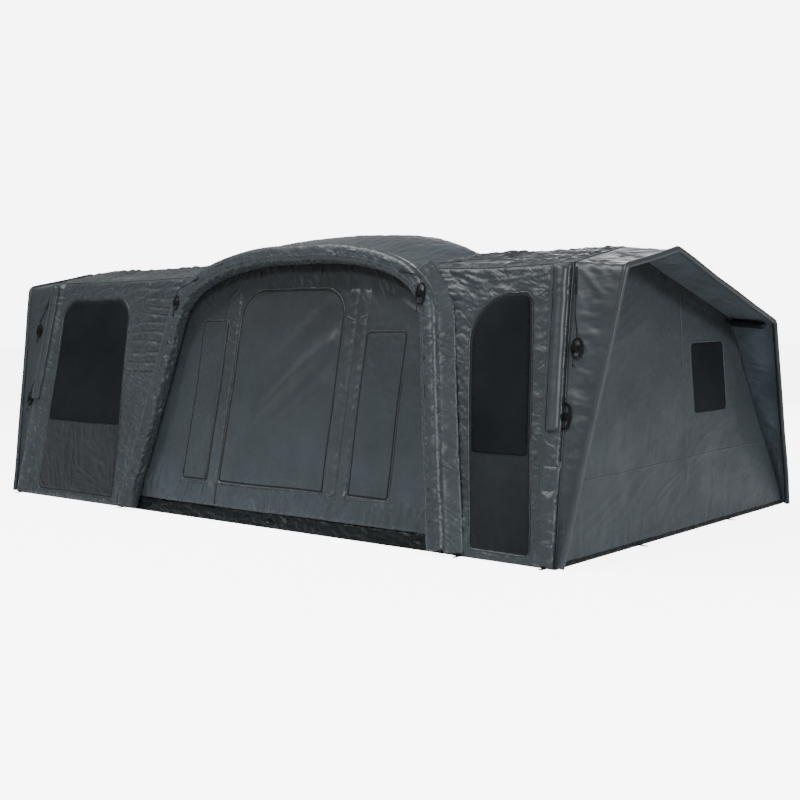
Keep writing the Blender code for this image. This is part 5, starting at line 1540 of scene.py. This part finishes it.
beside_arch = ARCH_FOOT + TAB_ARCH_GAP
along_wall = (TAB_END_GAP - HALF_LENGTH, ARCH_X - beside_arch, ARCH_X + beside_arch,
              HALF_LENGTH - TAB_END_GAP)
peg_places = [[(x, side * (HALF_DEPTH + by), 0) for by in (-TAB_ROOT, TAB_LONG)]
              for x in along_wall for side in (-1, 1)]
peg_places += [[(side * (HALF_LENGTH + by), y, 0) for by in (-TAB_ROOT, TAB_LONG)]
               for side in (-1, 1) for y in (-TAB_SPREAD, TAB_SPREAD)]
for k, (start, stop) in enumerate(peg_places):
    webbing(f"peg_tab_{k + 1}", start, stop, (0, 0, 1), TAB_WIDE, TAB_HOLE)

# %% Guy line routes, as (x, height) on the front plane
CORD = 0.003
LOOP_POINTS, HANK_STEP, HANK_LAYER, HANK_LEAD, HANK_TAIL = 24, 0.0098, 0.0072, 0.014, 0.03
WAIST_SHARE, TIE_TURNS, TIE_PITCH = 0.30, 6, 2.15
KNOT = 0.0024
EAVE_HIGH = EAVE[1]
TABS = {"right_lower_guy": (3.045, EAVE_HIGH - 0.025), "left_lower_guy": (-3.045, EAVE_HIGH - 0.025)}
STRAPS = {"right_upper_guy": ((3.108, EAVE_HIGH - 0.03), (3.134, EAVE_HIGH - 0.23)),
          "left_upper_guy": ((-3.10, EAVE_HIGH - 0.03), (-3.195, EAVE_HIGH - 0.25))}
HANKS = {"right_upper_guy": (3.185, 1.50, 0.12, 0.15, 3.5),
         "right_lower_guy": (3.150, 1.03, 0.13, 0.19, 3.5),
         "left_upper_guy": (-3.250, 1.62, 0.10, 0.13, 2.5),
         "left_lower_guy": (-3.225, 0.93, 0.11, 0.14, 2.5)}
ROUTES = {"right_upper_guy": ((3.1345, 1.80), (3.150, 1.70)),
          "right_lower_guy": ((3.046, 1.90), (3.040, 1.60), (3.062, 1.35), (3.110, 1.20)),
          "left_upper_guy": ((-3.203, 1.82), (-3.228, 1.76)),
          "left_lower_guy": ((-3.050, 1.90), (-3.088, 1.60), (-3.140, 1.30), (-3.205, 1.10))}
ARCH_HANKS = {"arch_left_guy": (-1, 1.84, 0.10, 0.13, 2.5), "arch_right_guy": (1, 1.87, 0.12, 0.17, 2.5)}
ARCH_TAB_HEIGHT = EAVE_HIGH - 0.04


def hank(width, height, turns):
    """Points of a cord wound up in loops round the origin, starting and ending with a straight run."""
    top = height / 2
    lead = [(-HANK_LEAD, top + HANK_LEAD + 2 * CORD, 0)]
    for k in range(3):
        angle = math.pi / 2 * k / 3
        lead.append((-HANK_LEAD * math.cos(angle), top + HANK_LEAD * (1 - math.sin(angle)), 0))
    run = np.arange(int(turns * LOOP_POINTS) + 1) / LOOP_POINTS
    inset = HANK_STEP * np.minimum(run, turns - run)
    angle = math.pi / 2 - 2 * math.pi * run
    y = (top - inset) * np.sin(angle)
    x = (width / 2 - inset) * np.cos(angle) * (1 - WAIST_SHARE * (1 - (y / top) ** 2))
    climb = step_up(run, turns / 2 - 0.25, turns / 2 + 0.25)
    wound = np.column_stack([x, y, HANK_LAYER * climb])
    tail = np.array([(a, -b, HANK_LAYER) for a, b, _ in reversed(lead)])
    tail[-1] = (-HANK_LEAD, -top - HANK_LEAD - HANK_TAIL, HANK_LAYER)
    return np.vstack([lead, wound, tail])


def smoothed(points, step):
    """Even steps along a smooth curve through points, from cubic pieces with matching slopes."""
    line = np.array(points, float)
    padded = np.vstack([2 * line[0] - line[1], line, 2 * line[-1] - line[-2]])
    t = np.linspace(0, 1, 12, endpoint=False)[:, None]
    pieces = [0.5 * (2 * q + (r - p) * t + (2 * p - 5 * q + 4 * r - s) * t ** 2
                     + (3 * q - p - 3 * r + s) * t ** 3)
              for p, q, r, s in zip(padded, padded[1:], padded[2:], padded[3:])]
    fine = np.vstack([*pieces, line[-1:]])
    return at_index(fine, even_index(fine, step))


def knot(name, place, way):
    """An overhand knot: a tube along a trefoil, which is a small ring turned twice round itself."""
    t = np.linspace(0, 2 * math.pi, 49)
    loop = np.column_stack([np.sin(t) + 2 * np.sin(2 * t), np.cos(t) - 2 * np.cos(2 * t),
                            -1.4 * np.sin(3 * t)])
    path = np.array(place) + np.array(way) * 0.004 + loop * KNOT
    return finish(tube(name, path, (0.3, -0.9, 0.2), circle(KNOT, KNOT, 8)), BRAID, "tent", "cord")


def hank_tie(name, centre, wide, lift):
    """The end of a cord wrapped round its hank: a flat helix of TIE_TURNS turns round the waist."""
    turn = np.linspace(0, 2 * math.pi * TIE_TURNS, TIE_TURNS * 28)
    half = wide / 2 * (1 - WAIST_SHARE) + CORD
    across = half * np.sign(np.cos(turn)) * np.abs(np.cos(turn)) ** 0.6
    outward = lift + CORD + HANK_LAYER / 2 + (HANK_LAYER / 2 + 2 * CORD) * np.sin(turn)
    outward = np.maximum(outward, lift + CORD)
    down = (turn / turn[-1] - 0.5) * TIE_TURNS * TIE_PITCH * CORD + 0.006 * np.cos(turn / 2)
    places = on(FRONT, centre[0] + across, centre[1] * FRONT_SLOPE + down, outward)
    return finish(tube(name, places, FRONT[3] + (0, 0, 0.9), circle(CORD, CORD, 8)), BRAID, "tent", "cord")


def swung(start, top, reach=0.06, count=12):
    """A cubic curve from start towards top that arrives there straight down.

    Its inner control points lie a reach ahead of the start and a reach above the top.
    """
    start, top = np.array(start, float), np.array(top, float)
    ahead = start + reach * unit(top - start)
    t = np.linspace(0, 1, count)[:, None]
    return ((1 - t) ** 3 * start + 3 * (1 - t) ** 2 * t * ahead
            + 3 * (1 - t) * t ** 2 * (top + (0, reach)) + t ** 3 * top)


def guy_line(name, start, route, centre, wound_size, lift):
    """One guy line: down from its tab, up in its hank, and a knot at its end."""
    x, s = centre[0], centre[1] * FRONT_SLOPE
    rest = lift + CORD
    wound = hank(*wound_size) + (x, s, rest)
    top = wound[0]
    if len(route):
        path = [(*start, rest), *[(a, b * FRONT_SLOPE, rest) for a, b in route]]
        path += [(top[0], top[1] + 6 * CORD, rest)]
    else:
        path = [(*place, rest) for place in swung(start, top[:2])[:-1]]
    line = smoothed(np.vstack([path, wound]), 0.006)
    places = on(FRONT, *line[:, :2].T, line[:, 2])
    cord = tube(name, places, FRONT[3], circle(CORD, CORD, 10))
    finish(cord, BRAID, "tent", "cord", f"{name}_line", f"{name}_hank")
    end = knot(f"{name}_knot", places[-1], unit(places[-1] - places[-2]))
    tie = hank_tie(f"{name}_tie", centre, wound_size[0], lift)


def arch_x(height, side):
    """x of the front arch's centre line at a height above its shoulder."""
    line = arch(ARCH_TUBE)
    line = line[(line[:, 0] - ARCH_X) * side > 0]
    line = line[np.argsort(line[:, 1])]
    above = int(np.argmax(line[:, 1] > height))
    return at_height(line[above - 1], line[above], height)[0]


# %% Guy lines, with the webbing that holds them
def flat_strip(name, a, b, width, lift):
    """Webbing on the front plane between two (x, s) places, at a lift."""
    start, stop = (on(FRONT, *place, lift - TAB_CLOTH) for place in (a, b))
    return webbing(name, start, stop, FRONT[3], width)


for name, (x, height) in TABS.items():
    start = (x, height * FRONT_SLOPE)
    stop = (x, start[1] - GUY_TAB_LONG)
    flat_strip(f"{name}_tab", start, stop, GUY_TAB_WIDE, TAB_CLOTH)
    *centre, wide, high, turns = HANKS[name]
    guy_line(name, (x, stop[1] - SEAT), ROUTES[name], centre, (wide, high, turns), SEAT)
for name, ends in STRAPS.items():
    a, b = up_front(ends)
    flat_strip(f"{name}_strap", a, b, STRAP_WIDE, TAB_CLOTH)
    start = b + unit(b - a) * 2 * SEAT
    *centre, wide, high, turns = HANKS[name]
    guy_line(name, start, ROUTES[name], centre, (wide, high, turns), SEAT)
crest = 2 * (ARCH_TUBE + SEAT)
for name, (side, height, wide, high, turns) in ARCH_HANKS.items():
    middle = arch_x(height, side)
    top = np.array([middle - HANK_LEAD, height * FRONT_SLOPE + high / 2 + HANK_LEAD])
    root = np.array([arch_x(ARCH_TAB_HEIGHT, side), ARCH_TAB_HEIGHT * FRONT_SLOPE])
    way = unit(top - root)
    flat_strip(f"{name}_tab", root, root + way * GUY_TAB_LONG, GUY_TAB_WIDE, crest + TAB_CLOTH)
    guy_line(name, root + way * (GUY_TAB_LONG + 2 * SEAT), (), (middle, height), (wide, high, turns), crest)

# %% [markdown]
# ## Zips, seams and bindings
#
# What makes a tent read as sewn is its lines: a zip is a coil on a woven tape, a seam is a raised
# double layer with its stitches, and a binding is a strip folded over an edge. All are ribbons that
# follow a line over the relief of the cloth that they are sewn to.

# %% Lines beside an outline
def moved_out(ring, by):
    """A closed outline, anticlockwise, moved outwards along its normals."""
    ring = divided(ring, LINE_STEP)
    along = unit(np.roll(ring, -1, axis=0) - np.roll(ring, 1, axis=0))
    return ring + by * np.column_stack([along[:, 1], -along[:, 0]])


def part_of(ring, low, high):
    """The part of a closed ring between two shares of its length, which may pass its start."""
    closed = np.vstack([ring, ring, ring[:1]])
    run = run_along(closed)
    whole = run[len(ring)]
    places = np.linspace(low * whole, high * whole, max(4, round((high - low) * whole / LINE_STEP)))
    return at_run(closed, run, places)


BINDING_LIFT = 0.0020


def binding(name, ring, relief, rings, body, width=SEAM_WIDTH):
    """A narrow strip sewn along the inside of an outline on the front plane."""
    line = moved_out(ring, -width * 0.75)
    ribbon(name, FRONT, line, width, BINDING_LIFT, relief, rings, body, EDGING, closed=True)


# %% Zips and seams of the middle wall
ZIP_BESIDE, ZIP_TURN = 0.009, 22
MIDDLE_SEAMS = {"strip_seam_left": [(-0.425, 1.80), (-0.435, 0.20)],
                "strip_seam_right": [(0.985, 1.74), (1.105, 1.70), (1.100, 0.33)],
                "strip_edge_right": [(1.120, 1.72), (1.215, 1.74), (1.222, 0.26)],
                "cover_hem_left": [(-0.76, 0.30), (-0.37, 0.305)],
                "cover_hem_right": [(1.20, 0.30), (1.70, 0.318)]}
door_zip = np.vstack([[(DOOR_LEFT, (RIM + 0.02) * FRONT_SLOPE)], DOOR[::-1][:ZIP_TURN]])
upright_part = door_zip[:, :1] < 0
door_zip = door_zip - (ZIP_BESIDE, 0) * upright_part + (0, ZIP_BESIDE) * ~upright_part
ribbon("door_zip_tape", FRONT, door_zip, 0.022, 0.0016, middle_relief, MIDDLE_RINGS, material=WEBBING,
       wave=0.004)
zip_line("door_zip", door_zip, 0.013, 0.0052, middle_relief, MIDDLE_RINGS, 0.004)
hem = up_front([(DOOR_LEFT - 0.02, DOOR_SILL - 0.016), (DOOR_RIGHT + 0.12, DOOR_SILL - 0.010)])
zip_line("door_sill_zip", hem, 0.012, 0.0048, middle_relief, MIDDLE_RINGS, 0.003)
for name, places in MIDDLE_SEAMS.items():
    ribbon(name, FRONT, up_front(places), SEAM_WIDTH, 0.0032, middle_relief, MIDDLE_RINGS, wave=0.005)
binding("front_door_binding", DOOR, door_relief, (DOOR,), "front_door")
for word, ring in WINDOWS.items():
    binding(f"{word}_cover_binding", ring, cover_relief, (ring,), f"front_{word}_cover")
    line = part_of(moved_out(ring, 0.010), -0.42, 0.40)
    zip_line(f"{word}_cover_zip", line, 0.007, 0.0034, middle_relief, MIDDLE_RINGS, 0.002)

# %% Zips and bindings of the wing doors
for word, (door, pane, seed) in WING_DOORS.items():
    zip_line(f"{word}_door_zip", moved_out(door, 0.011), 0.009, 0.0046, *WALLS[word], 0.004, True)
    relief, rings, body = wing_door_relief(seed), (door, pane), f"{word}_door"
    binding(f"{word}_door_binding", door, relief, rings, body, 0.008)
    ribbon(f"{word}_pane_binding", FRONT, moved_out(pane, 0.005), 0.009, 0.0022, relief, rings, body,
           closed=True, material=EDGING)

# %% Seams of roofs, corners, arch and ends
CORNER_PIPING, ROOF_PIPING, DOME_PIPING, PIPING_LOW = 0.0045, 0.0035, 0.0040, 0.02


def seam(name, places, out, radius, material=SKIN_CLOTH):
    """A piped seam along places in space: a round cord of cloth."""
    line = np.array(places, float)
    path = settle(at_index(line, even_index(line, LINE_STEP)))
    return finish(tube(name, path, out, circle(radius, radius, 10)), material, "tent", "skin_cloth")


PIPED = [(-HALF_DEPTH + FRONT_LEAN * PIPING_LOW, PIPING_LOW), *SECTION[1:4],
         (HALF_DEPTH - REAR_LEAN * PIPING_LOW, PIPING_LOW)]
for word, side in SIDES:
    corner = [(side * (HALF_LENGTH - END_LEAN * z), y, z) for y, z in PIPED]
    seam(f"{word}_corner_piping", corner, (side, 0, 0.2), CORNER_PIPING)
    for kind, place, out in (("eave", EAVE, (0, -0.6, 0.8)), ("ridge", RIDGE, (0, 0, 1))):
        ends = [(DOME_ENDS[side], *place), (side * half_at(place[1]), *place)]
        seam(f"{word}_{kind}_seam", ends, out, ROOF_PIPING)
    seam(f"{word}_dome_seam", dome[:, 0 if side < 0 else -1], (0, 0, 1), DOME_PIPING)

inner_edge = arch(SKIN - 0.002)[2:-2] * (1, FRONT_SLOPE)
seam("arch_inner_piping", on(FRONT, *inner_edge.T, 0.006), FRONT[3], 0.0060, WEBBING)
outer_edge = arch(-0.006)[2:-2] * (1, FRONT_SLOPE)
wings_only = outer_edge[:, 1] < (EAVE[1] + 0.02) * FRONT_SLOPE
for word, side in SIDES:
    leg = outer_edge[wings_only & ((outer_edge[:, 0] - ARCH_X) * side > 0)]
    seam(f"{word}_arch_outer_piping", on(FRONT, *leg.T, 0.004), FRONT[3], 0.0050, SEAM)

between = arch(0.003, REAR_SHARE)[1:-1][::-1] * (-1, REAR_SLOPE)
seam("rear_arch_piping", on(REAR, *between.T, 0.003), REAR[3], 0.0070, SEAM)

END_SEAMS = (("low", [(-1.62, 0.557), (0.05, 0.585), (1.66, 0.600)], SEAM_WIDTH),
             ("upright", [(0.070, 0.585), (0.100, 1.20), (0.110, 1.98)], 0.008))
END_SEAM_HALF, END_RIM = 1.60, np.array([(-1.86, 0.022), (1.86, 0.022)])
for word, side in SIDES:
    face, relief, rings = ENDS[word]
    for name, places, width in END_SEAMS:
        line = divided(np.array(places) * (side, END_SLOPE), LINE_STEP, closed=False)
        line = line[np.abs(line[:, 0]) < END_SEAM_HALF]
        ribbon(f"{word}_end_seam_{name}", face, line, width, 0.0022, relief, rings, material=SKIN_CLOTH,
               wave=0.003)
    ribbon(f"{word}_end_window_binding", face, moved_out(rings[1], 0.011), 0.018, 0.0030, relief, rings,
           material=SEAM, closed=True)
    ribbon(f"{word}_end_rim", face, END_RIM, 0.030, 0.0040, relief, rings, material=SHEET_CLOTH,
           slot="groundsheet_cloth", wave=0.003)

# %% Seam, patches and toggles of the front arch
ARCH_STEP = 0.01
arch_line = at_index(front_path, even_index(front_path, ARCH_STEP))
arch_run = run_along(arch_line)


def on_sleeve(run, angle, lift):
    """Points on the front sleeve: run along its line, angle from outwards to the outside of the arch."""
    places = at_run(arch_line, arch_run, run)
    ways = unit(at_run(arch_line, arch_run, run + ARCH_STEP) - places)
    out = np.broadcast_to(FRONT[3], ways.shape)
    across = np.cross(out, ways)
    angle, reach = (np.broadcast_to(v, run.shape)[:, None] for v in (angle, ARCH_TUBE + lift))
    return places + reach * (np.cos(angle) * out + np.sin(angle) * across)


SEAM_ANGLE = -0.38
run = np.linspace(0.02, arch_run[-1] - 0.03, 420)
wave = 0.06 * noise(np.column_stack([run, run * 0, run * 0]), 0.15, 291)
path = settle(on_sleeve(run, SEAM_ANGLE + wave, 0.0035))
spoke = unit(path - settle(on_sleeve(run, SEAM_ANGLE + wave, -ARCH_TUBE)))
finish(tube("arch_seam", path, spoke, circle(0.0050, 0.0036, 10)), SEAM, "tent", "sleeve_cloth")


def run_at(x):
    """Distance along the front arch's line at which its crown crosses x."""
    above = arch_line[:, 2] > SHOULDER
    return arch_run[above][np.argmin(np.abs(arch_line[above, 0] - x))]


PATCHES = ((-0.78, 0.10, 1.15), (-0.47, 0.15, 1.15), (1.08, 0.20, 1.20), (1.46, 0.15, 1.15))
PATCH_LONG, PATCH_STEPS, PATCH_CLOTH = 0.10, 14, 0.002
for k, (x, low, high) in enumerate(PATCHES):
    angles, shares = np.linspace(high, low, PATCH_STEPS), np.linspace(-0.5, 0.5, PATCH_STEPS)
    a, b = (v.ravel() for v in np.meshgrid(angles, shares, indexing="ij"))
    lift = 0.005 + 0.004 * noise(np.column_stack([a, b, a * 0]), 0.5, 295 + k) * np.abs(b * 2)
    points = on_sleeve(run_at(x) + b * PATCH_LONG, a, lift).reshape(PATCH_STEPS, PATCH_STEPS, 3)
    patch = thicken(grid_mesh(f"arch_patch_{k + 1}", settle(points)[::-1]), PATCH_CLOTH)
    finish(patch, SLEEVE_CLOTH, "tent", "sleeve_cloth")


def rounded_bar(name, start, stop, radius, material, slot):
    """A bar with round ends: half circles of radius at both ends of its profile."""
    start, stop = np.array(start, float), np.array(stop, float)
    turn = np.linspace(0, math.pi / 2, 6)
    length = np.linalg.norm(stop - start)
    run = np.concatenate([radius * (1 - np.cos(turn)), length - radius * (1 - np.cos(turn))[::-1]])
    size = np.concatenate([radius * np.sin(turn), radius * np.sin(turn)[::-1]]).clip(radius / 20)
    path = start + run[:, None] * (stop - start) / length
    profiles = circle(1, 1, 14)[None] * size[:, None, None]
    return finish(tube(name, path, (0, -1, 0.21), profiles), material, "tent", slot)


TOGGLES, TOGGLE_RADIUS = ((-0.074, 2.105), (0.650, 2.118)), 0.0055
for k, (x, height) in enumerate(TOGGLES):
    low, top = (on(FRONT, x, (height + by) * FRONT_SLOPE, lift)
                for by, lift in ((-0.035, 0.014), (0.03, 0.012)))
    rounded_bar(f"toggle_{k + 1}", low, top, TOGGLE_RADIUS, PLASTIC, "black_plastic")

# %% [markdown]
# ## Corner sleeves
#
# A narrow sleeve of smooth cloth runs down each front corner over the inflated tube, with a dark
# edging on both sides. It stops above the valve, where the corner's cloth is loose.

# %% Corner sleeves
SLEEVE_LOW, SLEEVE_HIGH, SLEEVE_IN = 0.93, 2.06, 0.062
SLEEVE_WIDE, SLEEVE_ROUND = 0.100, 0.034


def beside_end(side, inward):
    """Line up the front plane that keeps a distance from the end of the body."""
    heights = np.linspace(SLEEVE_LOW, SLEEVE_HIGH, 60)
    return np.column_stack([side * (half_at(heights) - inward), heights * FRONT_SLOPE])


for word, side in SIDES:
    ribbon(f"{word}_corner_sleeve", FRONT, beside_end(side, SLEEVE_IN), SLEEVE_WIDE, SLEEVE_ROUND,
           *WALLS[word], material=SKIN_CLOTH, wave=0.003)
    for k, inward in enumerate((SLEEVE_IN - 0.056, SLEEVE_IN + 0.060)):
        ribbon(f"{word}_corner_edging_{k + 1}", FRONT, beside_end(side, inward), 0.008, 0.004, *WALLS[word],
               material=EDGING)
    print(f"{word}_corner_sleeve: {SLEEVE_HIGH - SLEEVE_LOW:.2f} m high")

# %% [markdown]
# ## Gussets beside the arch
#
# A gusset is the strip of cloth that joins the arch's sleeve to the wing beside it. It starts on the
# side of the tube and comes down to the wall as a power of the way across, which makes it hollow.

# %% Gussets beside the arch
GUSSET_OUT, GUSSET_STEPS, GUSSET_LOW = 0.10, 9, 0.008
for word, side in SIDES:
    leg = arch_line[:, 2] < EAVE[1] - 0.06
    leg &= (arch_line[:, 0] - ARCH_X) * side > 0
    run = arch_line[leg]
    run = run[np.argsort(run[:, 2])]
    slope = (run[6] - run[0]) / (run[6] - run[0])[2]
    run[0] += slope * (GUSSET_LOW - run[0, 2])
    run = at_index(run, even_index(run, FINE))
    _, over, out_way = frames(run, FRONT[3])
    away = over * (1 if np.mean(over[:, 0]) * side > 0 else -1)
    share = np.linspace(0, 1, GUSSET_STEPS)
    sideways = ARCH_TUBE * 0.93 + (ARCH_TUBE * 0.07 + GUSSET_OUT) * share
    outwards = 0.45 * ARCH_TUBE - (1.40 * ARCH_TUBE - 0.006) * share ** 0.7
    grid = (run[:, None] + sideways[None, :, None] * away[:, None]
            + outwards[None, :, None] * out_way[:, None])
    flat = grid.reshape(-1, 3)
    rough = 0.008 * wrinkles(flat[:, 0], flat[:, 2], 0.07, 311 + side, 0.3 * side, 0.5, 3.0)
    rough = rough.reshape(grid.shape[:2]) * np.sin(math.pi * share) ** 0.5
    if (normals(grid) * out_way[:, None]).sum() < 0:
        grid, rough = grid[:, ::-1], rough[:, ::-1]
    cloth_grid(f"{word}_arch_gusset", grid, rough, "front_arch_beam", CRUMPLED, "sleeve_cloth")

# %% [markdown]
# ## Rolled blind
#
# The blind of a porch is rolled up under its rear corner. A round roll touches both slopes of the
# corner, so its middle lies on the line that halves the corner, and runs out along the hood.

# %% Rolled blinds
BLIND_RADIUS, BLIND_IN, BLIND_FROM, BLIND_TO = 0.030, 0.050, 0.06, 0.84
rear_corner = np.array([HALF_LENGTH - END_LEAN * REAR_EAVE[1], *REAR_EAVE])
rim_corner = around_section(PORCH_REACH, PORCH_FOOT, PORCH_DROOP)[3]
roof_way = unit(np.array([0, *(RIDGE - REAR_EAVE)]))
wall_way = unit(np.array([0, HALF_DEPTH - REAR_EAVE[0], -REAR_EAVE[1]]))
inward = unit(roof_way + wall_way)
for word, side in SIDES:
    ends = [(rear_corner + (rim_corner - rear_corner) * share + BLIND_IN * inward) * (side, 1, 1)
            for share in (BLIND_FROM, BLIND_TO)]
    rounded_bar(f"{word}_rolled_blind", *ends, BLIND_RADIUS, EDGING, "skin_cloth")
    print(f"{word}_rolled_blind: {math.dist(*ends):.2f} m long")
